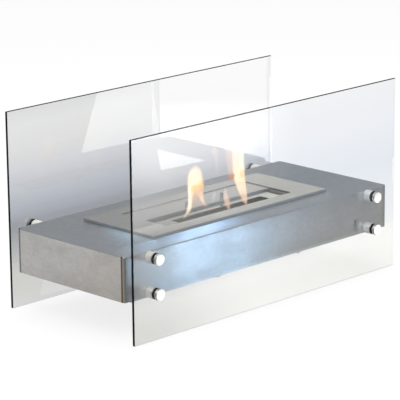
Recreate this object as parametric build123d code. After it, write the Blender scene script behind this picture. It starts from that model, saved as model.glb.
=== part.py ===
from build123d import *
import os

# Free-standing bioethanol fireplace: a folded steel body held between two clear glass panels
# by eight stand-offs, with a lift-out burner whose fire slot is shut by a sliding lid.
# Millimetres. X runs along the long side, the front faces -Y, Z is up.
# The origin is the middle of the footprint, on the surface that the glass stands on.

# ---- driving dimensions ----
LENGTH = 650.0            # glass and body, along X
BODY_DEPTH = 265.0        # over the two steel faces
BODY_HEIGHT = 78.0
BODY_TOP = 147.2          # the steel top above the surface
GLASS_HEIGHT = 347.0
GLASS_THICK = 5.0
GLASS_GAP = 17.5          # steel face to inner glass face

SHEET = 1.2               # body, cover, burner and lid sheet
BODY_CORNER = 5.0         # welded and ground upright corners
BODY_BEND = 1.6           # folded top edges
FLANGE = 16.0             # turned-in bottom flange
GLASS_ARRIS = 0.5

# stand-offs
POST_DIA = 20.0
POST_X = 271.0
POST_INSET = 9.0          # post centre from the top and bottom edges of the body
POST_ARRIS = 0.6
GASKET = 2.0
GASKET_DIA = 19.4
CAP_THICK = 5.5
CAP_ARRIS = 0.7
STUD_DIA = 8.0
STUD_LENGTH = 14.0
THREAD_GAP = 0.1          # a plain bore stands for the thread
GLASS_HOLE = 12.0
BUSH_GAP = 0.1
SCREW_HOLE = 8.6
SCREW_LENGTH = 12.0
SCREW_HEAD = 13.0         # across the flats
SCREW_HEAD_THICK = 5.3
WASHER_DIA = 15.0
WASHER_THICK = 1.6

# bottom cover
COVER_INSET = 3.0
COVER_SCREW_X = (-300.0, -100.0, 100.0, 300.0)
COVER_SCREW_EDGE = 10.0
M4_DIA = 4.0
M4_HOLE = 4.5
M4_LENGTH = 6.5
M4_HEAD_DIA = 7.6
M4_HEAD_THICK = 2.6
M4_HEAD_ARRIS = 0.8
M4_NUT = 7.0
M4_NUT_THICK = 3.2

# burner, with heights above or below the steel top of the body
FRAME_X = 430.0
FRAME_Y = 172.0
FRAME_RISE = 5.0
FRAME_BEND = 0.7
FRAME_CORNER = 1.5
MOUTH_X = 310.0           # opening in the frame
MOUTH_Y = 114.0
MOUTH_CORNER = 1.0
REST_GAP = 0.3            # running clearance between pieces that move apart
RAIL_WIDTH = 8.0          # hidden strip of the lid on each rail
RAIL_SHEET = 0.8
RAIL_TOP = 2.0
DECK_TOP = -0.5           # slotted plate
DECK_THICK = 1.5
DECK_GAP = 0.5
SLOT_X = 224.0
SLOT_Y = 28.0
SLOT_CENTRE_Y = -34.5
SLOT_CORNER = 1.0
TANK_BOTTOM = -55.0
TANK_SHOULDER = 10.0      # ledge that carries the slotted plate
TANK_CORNER = 6.0
TANK_BEND = 3.0
CUTOUT_GAP = 3.0          # body cut-out past the tank, each side
WOOL_GAP = 0.5
WOOL_TOP = -16.0

# sliding lid
LID_FRONT = -1.2          # front edge of the open lid, from the burner's middle
LID_TOP = 3.5
LID_END_GAP = 1.0
LID_UNDER_REAR = 6.0      # rear edge of the open lid, past the mouth
LID_LIP_GAP = 0.7
LID_BEND = 1.2
KNOB_X = 43.5
KNOB_DIA = 6.0
KNOB_HEIGHT = 11.0
KNOB_BACK = 10.0          # knob centre behind the lid's front edge
KNOB_NECK = 1.0
KNOB_ARRIS = 0.8
M3_DIA = 3.0
M3_HOLE = 3.3
M3_LENGTH = 8.0
M3_HEAD_DIA = 5.5
M3_HEAD_THICK = 1.8

# ---- worked out from them ----
BODY_BOTTOM = BODY_TOP - BODY_HEIGHT
GLASS_IN = BODY_DEPTH / 2 + GLASS_GAP
GLASS_OUT = GLASS_IN + GLASS_THICK
POST_LENGTH = GLASS_GAP - GASKET
POST_Z = (BODY_BOTTOM + POST_INSET, BODY_TOP - POST_INSET)
TANK_IN_X = MOUTH_X + 2 * RAIL_WIDTH
TANK_IN_Y = MOUTH_Y + 2 * RAIL_WIDTH
TANK_TOP = FRAME_RISE - SHEET
SIDES = {"front": -1, "rear": 1}
ENDS = {"left": -1, "right": 1}
LEVELS = {"lower": POST_Z[0], "upper": POST_Z[1]}


def block(x0, x1, y0, y1, z0, z1):
    """A box between two opposite corners."""
    box = Box(x1 - x0, y1 - y0, z1 - z0, align=(Align.MIN, Align.MIN, Align.MIN))
    return Pos(x0, y0, z0) * box


def slab(size_x, size_y, z0, z1, corner=0.0, centre_y=0.0):
    """A flat plate with round upright corners, centred on the Z axis or at centre_y."""
    if corner > 0:
        outline = RectangleRounded(size_x, size_y, corner)
    else:
        outline = Rectangle(size_x, size_y)
    return Pos(0, centre_y, z0) * extrude(outline, z1 - z0)


def rod(diameter, x, y0, y1, z):
    """A round bar along Y between two places."""
    bar = Cylinder(diameter / 2, abs(y1 - y0))
    return Pos(x, (y0 + y1) / 2, z) * Rot(90, 0, 0) * bar


def pin(diameter, x, y, z0, z1):
    """A round bar along Z between two heights."""
    return Pos(x, y, z0) * Cylinder(diameter / 2, z1 - z0, align=(Align.CENTER, Align.CENTER, Align.MIN))


def hexagon_bar(across_flats, length):
    """A six-sided bar that stands on the XY plane."""
    return extrude(RegularPolygon(across_flats / 2, 6, major_radius=False), length)


def level_edges(solid, height):
    """The edges that lie level at a height."""
    return solid.edges().filter_by_position(Axis.Z, height, height)


def post_places():
    """Where the four posts of one side stand, as (x, z)."""
    return [(end * POST_X, z) for end in ENDS.values() for z in POST_Z]


# ---- body ----
def body_shell():
    """Folded top and walls, turned-in bottom flange, burner cut-out and post holes."""
    outer = slab(LENGTH, BODY_DEPTH, BODY_BOTTOM, BODY_TOP, BODY_CORNER)
    outer = fillet(level_edges(outer, BODY_TOP), BODY_BEND)
    hollow = slab(LENGTH - 2 * SHEET, BODY_DEPTH - 2 * SHEET, BODY_BOTTOM + SHEET, BODY_TOP - SHEET,
                  BODY_CORNER - SHEET)
    hatch = slab(LENGTH - 2 * FLANGE, BODY_DEPTH - 2 * FLANGE, BODY_BOTTOM, BODY_BOTTOM + SHEET, BODY_CORNER)
    cutout = slab(TANK_IN_X + 2 * (SHEET + CUTOUT_GAP), TANK_IN_Y + 2 * (SHEET + CUTOUT_GAP),
                  BODY_TOP - SHEET, BODY_TOP, TANK_CORNER)
    shell = outer - hollow - hatch - cutout
    for x, z in post_places():
        shell -= rod(SCREW_HOLE, x, -BODY_DEPTH / 2, BODY_DEPTH / 2, z)
    for x, y in cover_screw_places():
        shell -= pin(M4_HOLE, x, y, BODY_BOTTOM, BODY_BOTTOM + SHEET)
    return shell


def cover_screw_places():
    """Screws along the front and rear flanges, as (x, y)."""
    edge = BODY_DEPTH / 2 - COVER_SCREW_EDGE
    return [(x, side * edge) for side in SIDES.values() for x in COVER_SCREW_X]


def bottom_cover():
    """Flat cover under the flange."""
    plate = slab(LENGTH - 2 * COVER_INSET, BODY_DEPTH - 2 * COVER_INSET, BODY_BOTTOM - SHEET, BODY_BOTTOM,
                 BODY_CORNER)
    for x, y in cover_screw_places():
        plate -= pin(M4_HOLE, x, y, BODY_BOTTOM - SHEET, BODY_BOTTOM)
    return plate


def cover_screws():
    """Pan-head screws from below."""
    screws = []
    for x, y in cover_screw_places():
        seat = BODY_BOTTOM - SHEET
        head = pin(M4_HEAD_DIA, x, y, seat - M4_HEAD_THICK, seat)
        head = chamfer(level_edges(head, seat - M4_HEAD_THICK), M4_HEAD_ARRIS)
        screws.append(head + pin(M4_DIA, x, y, seat, seat + M4_LENGTH))
    return screws


def clinch_nuts():
    """Hexagon nuts pressed onto the top of the flange."""
    nuts = []
    for x, y in cover_screw_places():
        seat = BODY_BOTTOM + SHEET
        nut = Pos(x, y, seat) * hexagon_bar(M4_NUT, M4_NUT_THICK)
        nuts.append(nut - pin(M4_DIA + THREAD_GAP, x, y, seat, seat + M4_NUT_THICK))
    return nuts


# ---- glass and its stand-offs ----
def glass_panel(side):
    """Toughened panel with ground edges and four holes."""
    low, high = sorted((side * GLASS_IN, side * GLASS_OUT))
    panel = block(-LENGTH / 2, LENGTH / 2, low, high, 0, GLASS_HEIGHT)
    panel = chamfer(panel.edges(), GLASS_ARRIS)
    for x, z in post_places():
        panel -= rod(GLASS_HOLE, x, low, high, z)
    return panel


def post(side, x, z):
    """Tapped barrel between the steel face and the glass."""
    foot = side * BODY_DEPTH / 2
    end = foot + side * POST_LENGTH
    barrel = rod(POST_DIA, x, foot, end, z)
    rims = [barrel.edges().filter_by_position(Axis.Y, y, y)[0] for y in (foot, end)]
    return chamfer(rims, POST_ARRIS) - rod(STUD_DIA + THREAD_GAP, x, foot, end, z)


def cap(side, x, z):
    """Flat round cap with its own threaded stud."""
    seat = side * (GLASS_OUT + GASKET)
    face = seat + side * CAP_THICK
    head = rod(POST_DIA, x, seat, face, z)
    head = chamfer(head.edges().filter_by_position(Axis.Y, face, face), CAP_ARRIS)
    stud = rod(STUD_DIA, x, seat, seat - side * STUD_LENGTH, z)
    return head + stud


def rings(side, outer_dia, inner_dia, start, end):
    """One ring round each of the four studs of a side."""
    return [rod(outer_dia, x, side * start, side * end, z) - rod(inner_dia, x, side * start, side * end, z)
            for x, z in post_places()]


def fixing_screws(side):
    """Hexagon screws from inside the body into the posts."""
    seat = side * (BODY_DEPTH / 2 - SHEET - WASHER_THICK)
    screws = []
    for x, z in post_places():
        head = Pos(x, seat, z) * Rot(side * 90, 0, 0) * hexagon_bar(SCREW_HEAD, SCREW_HEAD_THICK)
        shank = rod(STUD_DIA, x, seat, seat + side * SCREW_LENGTH, z)
        screws.append(head + shank)
    return screws


# ---- burner ----
def burner_frame():
    """Bezel with turned-down outer edges and the mouth cut in it."""
    top = BODY_TOP + FRAME_RISE
    foot = BODY_TOP + REST_GAP
    plate = slab(FRAME_X, FRAME_Y, foot, top, FRAME_CORNER)
    plate = fillet(level_edges(plate, top), FRAME_BEND)
    under = slab(FRAME_X - 2 * SHEET, FRAME_Y - 2 * SHEET, foot, top - SHEET)
    mouth = slab(MOUTH_X, MOUTH_Y, top - SHEET, top, MOUTH_CORNER)
    return plate - under - mouth


def burner_tank():
    """Pressed fuel tank with a ledge that carries the slotted plate."""
    ledge = BODY_TOP + DECK_TOP - DECK_THICK
    floor = BODY_TOP + TANK_BOTTOM
    rim = BODY_TOP + TANK_TOP
    low_x = TANK_IN_X - 2 * TANK_SHOULDER
    low_y = TANK_IN_Y - 2 * TANK_SHOULDER
    bowl = slab(low_x + 2 * SHEET, low_y + 2 * SHEET, floor, rim, TANK_CORNER)
    bowl = fillet(level_edges(bowl, floor), TANK_BEND)
    collar = slab(TANK_IN_X + 2 * SHEET, TANK_IN_Y + 2 * SHEET, ledge - SHEET, rim, TANK_CORNER)
    inside = slab(low_x, low_y, floor + SHEET, rim, TANK_CORNER - SHEET)
    inside = fillet(level_edges(inside, floor + SHEET), TANK_BEND - SHEET)
    upper = slab(TANK_IN_X, TANK_IN_Y, ledge, rim, TANK_CORNER - SHEET)
    return bowl + collar - inside - upper


def slotted_plate():
    """Plate over the tank with the long fire slot."""
    top = BODY_TOP + DECK_TOP
    plate = slab(TANK_IN_X - DECK_GAP, TANK_IN_Y - DECK_GAP, top - DECK_THICK, top, TANK_CORNER)
    return plate - slab(SLOT_X, SLOT_Y, top - DECK_THICK, top, SLOT_CORNER, SLOT_CENTRE_Y)


def lid_rail(end):
    """Inverted channel that one end of the lid slides on."""
    outline = end * MOUTH_X / 2
    low, high = sorted((outline, outline + end * (RAIL_WIDTH - DECK_GAP / 2)))
    half = TANK_IN_Y / 2 - TANK_CORNER
    deck = BODY_TOP + DECK_TOP
    top = BODY_TOP + RAIL_TOP
    channel = block(low, high, -half, half, deck, top)
    groove = block(low + RAIL_SHEET, high - RAIL_SHEET, -half, half, deck, top - RAIL_SHEET)
    return channel - groove


def ceramic_wool():
    """Fibre block that holds the fuel."""
    low_x = TANK_IN_X - 2 * (TANK_SHOULDER + WOOL_GAP)
    low_y = TANK_IN_Y - 2 * (TANK_SHOULDER + WOOL_GAP)
    floor = BODY_TOP + TANK_BOTTOM + SHEET
    wool = slab(low_x, low_y, floor, BODY_TOP + WOOL_TOP, TANK_CORNER)
    return chamfer(level_edges(wool, floor), TANK_BEND)


# ---- sliding lid ----
def regulator_lid():
    """Flat lid with a turned-down front lip, shown open."""
    top = BODY_TOP + LID_TOP
    rear = MOUTH_Y / 2 + LID_UNDER_REAR
    half = TANK_IN_X / 2 - LID_END_GAP
    plate = block(-half, half, LID_FRONT, rear, top - SHEET, top)
    lip_half = MOUTH_X / 2 - LID_LIP_GAP
    lip = block(-lip_half, lip_half, LID_FRONT, LID_FRONT + SHEET, BODY_TOP + DECK_TOP + REST_GAP, top)
    lid = plate + lip
    bend = level_edges(lid, top).filter_by_position(Axis.Y, LID_FRONT, LID_FRONT)
    lid = fillet(bend, LID_BEND)
    for end in ENDS.values():
        lid -= pin(M3_HOLE, end * KNOB_X, LID_FRONT + KNOB_BACK, top - SHEET, top)
    return lid


def lid_knob(end):
    """Turned peg with a waisted foot and a chamfered top."""
    y = LID_FRONT + KNOB_BACK
    foot = BODY_TOP + LID_TOP
    radius = KNOB_DIA / 2
    crown = foot + KNOB_HEIGHT
    knob = pin(KNOB_DIA, end * KNOB_X, y, foot, crown)
    knob = chamfer(level_edges(knob, crown), KNOB_ARRIS)
    groove = pin(KNOB_DIA, end * KNOB_X, y, foot + KNOB_NECK, foot + 2 * KNOB_NECK)
    groove -= pin(2 * radius - KNOB_NECK, end * KNOB_X, y, foot + KNOB_NECK, foot + 2 * KNOB_NECK)
    bore = pin(M3_DIA + THREAD_GAP, end * KNOB_X, y, foot, foot + M3_LENGTH)
    return knob - groove - bore


def knob_screws():
    """Pan-head screws up through the lid into the knobs."""
    y = LID_FRONT + KNOB_BACK
    seat = BODY_TOP + LID_TOP - SHEET
    return [pin(M3_HEAD_DIA, end * KNOB_X, y, seat - M3_HEAD_THICK, seat)
            + pin(M3_DIA, end * KNOB_X, y, seat, seat + M3_LENGTH)
            for end in ENDS.values()]


def write(name, *solids):
    """Write one node, with each of its pieces as a solid of its own."""
    pieces = [solid for shape in solids for solid in shape.solids()]
    shape = pieces[0] if len(pieces) == 1 else Compound(children=pieces)
    export_step(shape, f"parts/{name}.step")


def main():
    """Build every node."""
    os.makedirs("parts", exist_ok=True)
    write("body_shell", body_shell())
    write("bottom_cover", bottom_cover())
    write("cover_screws", *cover_screws())
    write("clinch_nuts", *clinch_nuts())
    for place, side in SIDES.items():
        write(f"{place}_glass", glass_panel(side))
        for hand, end in ENDS.items():
            for level, z in LEVELS.items():
                write(f"{place}_{level}_{hand}_post", post(side, end * POST_X, z))
                write(f"{place}_{level}_{hand}_cap", cap(side, end * POST_X, z))
        write(f"{place}_inner_gaskets",
              *rings(side, GASKET_DIA, SCREW_HOLE, GLASS_IN - GASKET, GLASS_IN))
        write(f"{place}_outer_gaskets",
              *rings(side, GASKET_DIA, SCREW_HOLE, GLASS_OUT, GLASS_OUT + GASKET))
        write(f"{place}_glass_bushes",
              *rings(side, GLASS_HOLE - BUSH_GAP, SCREW_HOLE, GLASS_IN, GLASS_OUT))
        write(f"{place}_washers",
              *rings(side, WASHER_DIA, SCREW_HOLE, BODY_DEPTH / 2 - SHEET - WASHER_THICK,
                     BODY_DEPTH / 2 - SHEET))
        write(f"{place}_fixing_screws", *fixing_screws(side))
    write("burner_frame", burner_frame())
    write("burner_tank", burner_tank())
    write("slotted_plate", slotted_plate())
    write("ceramic_wool", ceramic_wool())
    for hand, end in ENDS.items():
        write(f"{hand}_lid_rail", lid_rail(end))
        write(f"{hand}_lid_knob", lid_knob(end))
    write("regulator_lid", regulator_lid())
    write("knob_screws", *knob_screws())


main()
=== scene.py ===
import logging
import math
from dataclasses import dataclass
from enum import Enum
from typing import Any, Sequence, Union

import bpy
import numpy as np
from mathutils import Euler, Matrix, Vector
from mathutils.geometry import tessellate_polygon


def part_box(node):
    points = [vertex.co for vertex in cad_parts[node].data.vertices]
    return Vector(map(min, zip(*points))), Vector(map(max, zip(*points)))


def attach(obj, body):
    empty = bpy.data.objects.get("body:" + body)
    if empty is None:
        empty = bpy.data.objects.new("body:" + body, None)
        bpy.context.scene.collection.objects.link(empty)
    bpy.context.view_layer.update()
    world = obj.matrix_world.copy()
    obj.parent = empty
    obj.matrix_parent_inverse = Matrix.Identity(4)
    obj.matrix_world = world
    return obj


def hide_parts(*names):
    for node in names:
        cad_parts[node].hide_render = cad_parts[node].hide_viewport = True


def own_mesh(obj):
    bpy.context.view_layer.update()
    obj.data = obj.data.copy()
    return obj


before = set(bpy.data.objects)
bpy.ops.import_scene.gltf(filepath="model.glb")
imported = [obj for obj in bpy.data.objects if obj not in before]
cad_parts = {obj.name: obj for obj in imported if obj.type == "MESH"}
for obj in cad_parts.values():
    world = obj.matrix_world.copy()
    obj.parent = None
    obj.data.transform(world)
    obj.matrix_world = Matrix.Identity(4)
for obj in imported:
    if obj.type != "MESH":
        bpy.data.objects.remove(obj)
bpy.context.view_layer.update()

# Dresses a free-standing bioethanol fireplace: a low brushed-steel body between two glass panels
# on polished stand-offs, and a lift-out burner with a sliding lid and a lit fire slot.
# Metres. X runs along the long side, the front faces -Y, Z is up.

log = logging.getLogger("fireplace")

Colour = tuple[float, float, float]
Tone = Union[float, Colour]  # a colour, or the level of a grey
Stops = tuple[tuple[float, Tone], ...]
Point = tuple[float, float, float]
Face = tuple[int, ...]
Socket = bpy.types.NodeSocket
Feed = Union[Socket, float, Sequence[float]]
Finishes = dict[str, bpy.types.Material]

MM = 0.001
BUMP_DEPTH = 0.0001  # how deep every finish's relief is
AXIS_ALIGNED = 0.7   # a face points along an axis when its normal's share of it is past this


class Blend(Enum):
    """How a ramp runs between its stops."""

    LINEAR = "LINEAR"
    EASE = "EASE"


class Side(Enum):
    """The two glass sides, as a sign along Y."""

    FRONT = -1
    REAR = 1

    @property
    def label(self) -> str:
        """The word that starts the names of this side's nodes."""
        return self.name.lower()

    @property
    def stand_offs(self) -> list[str]:
        """The starts of the names of this side's four stand-offs."""
        return [f"{self.label}_{level}_{hand}" for level in ("lower", "upper") for hand in ("left", "right")]


def rgba(tone: Tone) -> tuple[float, ...]:
    """A tone with full alpha."""
    return (*tone, 1.0) if isinstance(tone, tuple) else (tone, tone, tone, 1.0)


def even(tone: Tone) -> Stops:
    """Stops that give one tone all the way."""
    return ((0.0, tone), (1.0, tone))


# ---------------------------------------------------------------- node helpers
class Board:
    """A node tree with short calls that add and link its nodes."""

    def __init__(self, tree: bpy.types.NodeTree) -> None:
        """Keeps the tree."""
        self.tree = tree

    def feed(self, socket: Socket, value: Feed) -> None:
        """Links an input to the output that feeds it, or sets its constant."""
        if isinstance(value, Socket):
            self.tree.links.new(value, socket)
        else:
            socket.default_value = value

    def add(self, kind: str, feeds: dict[Any, Feed] | None = None, **settings: Any) -> bpy.types.Node:
        """Adds one node.

        Args:
            kind: the node's type.
            feeds: what goes into its inputs, by name or place.
            **settings: the node's own properties.

        Returns:
            The node.
        """
        node = self.tree.nodes.new(kind)
        for name, value in settings.items():
            setattr(node, name, value)
        for key, value in (feeds or {}).items():
            self.feed(node.inputs[key], value)
        return node

    def math(self, operation: str, *values: Feed, clamp: bool = False) -> Socket:
        """Adds a Math node.

        Args:
            operation: the operation's name.
            *values: one to three numbers or sockets.
            clamp: whether the result is kept from 0 to 1.

        Returns:
            The result's socket.
        """
        return self.add("ShaderNodeMath", dict(enumerate(values)), operation=operation, use_clamp=clamp).outputs[0]

    def times(self, first: Feed, second: Feed) -> Socket:
        """Multiplies two numbers."""
        return self.math("MULTIPLY", first, second)

    def unsigned(self, value: Feed) -> Socket:
        """A number without its sign."""
        return self.math("ABSOLUTE", value)

    def mix(self, share: Feed, low: Feed, high: Feed, blend: str = "MIX") -> Socket:
        """Mixes two colours.

        Args:
            share: how much of the second colour shows.
            low: the first colour.
            high: the second colour.
            blend: the blend type.

        Returns:
            The mixed colour's socket.
        """
        node = self.add("ShaderNodeMix", {0: share}, data_type="RGBA", blend_type=blend)
        for place, value in ((6, low), (7, high)):
            self.feed(node.inputs[place], value if isinstance(value, Socket) else rgba(value))
        return node.outputs[2]

    def ramp(self, value: Feed, stops: Stops, blend: Blend = Blend.LINEAR) -> Socket:
        """Turns a number from 0 to 1 into a colour.

        Args:
            value: the number.
            stops: places and tones, in order.
            blend: how the colours run between the stops.

        Returns:
            The colour's socket.
        """
        node = self.add("ShaderNodeValToRGB", {0: value})
        points = node.color_ramp.elements
        node.color_ramp.interpolation = blend.value
        while len(points) < len(stops):
            points.new(1.0)
        for point, (place, tone) in zip(points, stops):
            point.position = place
            point.color = rgba(tone)
        return node.outputs[0]

    def span(self, value: Feed, start: float, end: float, low: float = 0.0, high: float = 1.0,
             smooth: bool = True) -> Socket:
        """Maps a range of one number to a range of another, clamped.

        Args:
            value: the number.
            start: where it gives low.
            end: where it gives high.
            low: the first result.
            high: the last result.
            smooth: whether it eases in and out.

        Returns:
            The result's socket.
        """
        return self.add("ShaderNodeMapRange", {0: value, 1: start, 2: end, 3: low, 4: high},
                        interpolation_type="SMOOTHSTEP" if smooth else "LINEAR").outputs[0]

    def noise(self, vector: Feed, scale: float = 1.0, detail: float = 2.0, rough: float = 0.5,
              bend: float = 0.0) -> Socket:
        """Adds a noise texture.

        Args:
            vector: where it is read.
            scale: features per metre.
            detail: octaves.
            rough: how strong the finer octaves are.
            bend: distortion.

        Returns:
            The value's socket.
        """
        return self.add("ShaderNodeTexNoise", {"Vector": vector, "Scale": scale, "Detail": detail,
                                               "Roughness": rough, "Distortion": bend}).outputs["Fac"]

    def stretched(self, vector: Feed, scales: Sequence[float], turn: Sequence[float] = (0, 0, 0)) -> Socket:
        """Scales a vector by axis, and turns it by angles in radians."""
        return self.add("ShaderNodeMapping", {"Vector": vector, "Scale": scales, "Rotation": turn}).outputs[0]

    def vector(self, x: Feed = 0.0, y: Feed = 0.0, z: Feed = 0.0) -> Socket:
        """Joins three numbers into a vector."""
        return self.add("ShaderNodeCombineXYZ", {0: x, 1: y, 2: z}).outputs[0]

    def axes(self, vector: Feed) -> tuple[Socket, ...]:
        """Splits a vector into its X, Y and Z sockets."""
        return tuple(self.add("ShaderNodeSeparateXYZ", {0: vector}).outputs)

    def rays(self) -> Any:
        """The kinds of ray that reach the surface, as a Light Path node's outputs."""
        return self.add("ShaderNodeLightPath").outputs

    def mirrored(self, path: Any) -> Socket:
        """One for a ray off a mirror that came through no glass, from the Light Path outputs."""
        return self.math("SUBTRACT", path["Is Glossy Ray"], path["Is Transmission Ray"], clamp=True)

    def seen(self, path: Any) -> Socket:
        """One for a ray from the camera, straight or through glass, from the Light Path outputs."""
        return self.math("MAXIMUM", path["Is Camera Ray"], path["Is Transmission Ray"])

    def outside(self) -> Socket:
        """One on a face's outer side, zero on its back."""
        return self.math("SUBTRACT", 1.0, self.add("ShaderNodeNewGeometry").outputs["Backfacing"])


def empty_board(owner: Any) -> Board:
    """Clears the nodes of a material or a world, and puts a board on them."""
    owner.use_nodes = True
    owner.node_tree.nodes.clear()
    return Board(owner.node_tree)


def new_tree(name: str, kind: str, inputs: dict[str, Union[str, float]],
             outputs: Sequence[str]) -> tuple[Board, Any, Any]:
    """Starts a node group.

    Args:
        name: the group's name.
        kind: Shader or Geometry.
        inputs: its inputs, each with its socket type or, for a number, its default.
        outputs: its outputs, all numbers in a Shader group and geometry in a Geometry group.

    Returns:
        The group's board, what comes in and what goes out.
    """
    tree = bpy.data.node_groups.new(name, kind + "NodeTree")
    for label, value in inputs.items():
        typed = value if isinstance(value, str) else "Float"
        socket = tree.interface.new_socket(label, in_out="INPUT", socket_type="NodeSocket" + typed)
        if typed == "Float":
            socket.default_value = value
    for label in outputs:
        typed = "NodeSocketGeometry" if kind == "Geometry" else "NodeSocketFloat"
        tree.interface.new_socket(label, in_out="OUTPUT", socket_type=typed)
    board = Board(tree)
    return board, board.add("NodeGroupInput").outputs, board.add("NodeGroupOutput").inputs


# ---------------------------------------------------------------- shared effects
class Effects:
    """The surface effects that several finishes share, each built once."""

    def __init__(self) -> None:
        """Builds every group."""
        self.grain = self.make_grain()
        self.wear = self.make_wear()

    @staticmethod
    def stretch(board: Board, place: Socket, along: Feed, across: Feed) -> Socket:
        """Scales a place along X by one number and across it by another."""
        return board.add("ShaderNodeVectorMath", {0: place, 1: board.vector(along, across, across)},
                         operation="MULTIPLY").outputs[0]

    def make_grain(self) -> bpy.types.NodeTree:
        """Brush lines along X, the flecks between them, and slow cloudy patches.

        Returns:
            The group, with the outputs Grain, Fleck and Cloud.
        """
        board, given, result = new_tree("brushed_grain", "Shader", {
            "Vector": "Vector", "Lines": 700.0, "Length": 18.0, "Flecks": 260.0, "Clouds": 14.0},
            ("Grain", "Fleck", "Cloud"))
        place, lines, length, flecks = (given[name] for name in ("Vector", "Lines", "Length", "Flecks"))
        fine = board.noise(self.stretch(board, place, length, lines), 1.0, 3.0, 0.6)
        broad = board.noise(self.stretch(board, place, board.times(length, 0.4), board.times(lines, 0.22)))
        speck = board.noise(self.stretch(board, place, board.times(flecks, 0.35), flecks), 1.0, 2.0, 0.7, 0.4)
        cloud = board.noise(self.stretch(board, place, given["Clouds"], given["Clouds"]), 1.0, 3.0, 0.55)
        grain = board.math("ADD", board.times(fine, 0.6), board.times(broad, 0.4))
        board.feed(result["Grain"], board.span(grain, 0.3, 0.7, smooth=False))
        board.feed(result["Fleck"], board.span(speck, 0.35, 0.75))
        board.feed(result["Cloud"], board.span(cloud, 0.3, 0.7))
        return board.tree

    @staticmethod
    def make_wear() -> bpy.types.NodeTree:
        """Handling marks: wiped smears.

        Returns:
            The group, with the output Smear.
        """
        board, given, result = new_tree("handling_wear", "Shader", {"Vector": "Vector", "Scale": 30.0}, ("Smear",))
        near = board.add("ShaderNodeVectorMath", {0: given["Vector"], "Scale": given["Scale"]}, operation="SCALE")
        turned_place = board.stretched(near.outputs[0], (0.5, 1.0, 1.6), (0.2, 0.3, 0.5))
        smear = board.noise(turned_place, 1.0, 4.0, 0.6, 0.8)
        board.feed(result["Smear"], board.span(smear, 0.4, 0.7))
        return board.tree


class Coat(Board):
    """A material's board, with its Principled shader and the shared effects at hand."""

    def __init__(self, name: str, effects: Effects) -> None:
        """Starts the material with one Principled shader.

        Args:
            name: the material's name.
            effects: the shared effects.
        """
        self.material = bpy.data.materials.new(name)
        super().__init__(empty_board(self.material).tree)
        self.effects = effects
        self.shader = self.add("ShaderNodeBsdfPrincipled")
        self.surface = self.shader.outputs[0]
        self.place = self.add("ShaderNodeTexCoord").outputs["Object"]

    def give(self, feeds: dict[str, Feed]) -> None:
        """Feeds the shader's inputs, by name."""
        for name, value in feeds.items():
            self.feed(self.shader.inputs[name], value)

    def grain(self, place: Socket, **values: float) -> Any:
        """The brushed grain's outputs, read at a place with its number inputs by name."""
        return self.add("ShaderNodeGroup", {"Vector": place, **values}, node_tree=self.effects.grain).outputs

    def smear(self, scale: float) -> Socket:
        """The wiped smears, with their features per metre."""
        return self.add("ShaderNodeGroup", {"Vector": self.place, "Scale": scale},
                        node_tree=self.effects.wear).outputs["Smear"]

    def bump(self, strength: float, height: Feed) -> Socket:
        """The normal of a fine relief."""
        return self.add("ShaderNodeBump", {"Strength": strength, "Distance": BUMP_DEPTH, "Height": height}).outputs[0]

    def close(self) -> bpy.types.Material:
        """Puts the surface on the material and returns it."""
        self.add("ShaderNodeOutputMaterial", {"Surface": self.surface})
        return self.material


# ---------------------------------------------------------------- finishes
@dataclass(frozen=True)
class Finish:
    """What every finish has: a name, and a material that it paints."""

    name: str

    def build(self, effects: Effects) -> bpy.types.Material:
        """Builds the material.

        Args:
            effects: the shared effects.

        Returns:
            The material.
        """
        coat = Coat(self.name, effects)
        self.paint(coat)
        return coat.close()

    def paint(self, coat: Coat) -> None:
        """Paints the coat; each finish has its own way."""
        raise NotImplementedError


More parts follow.
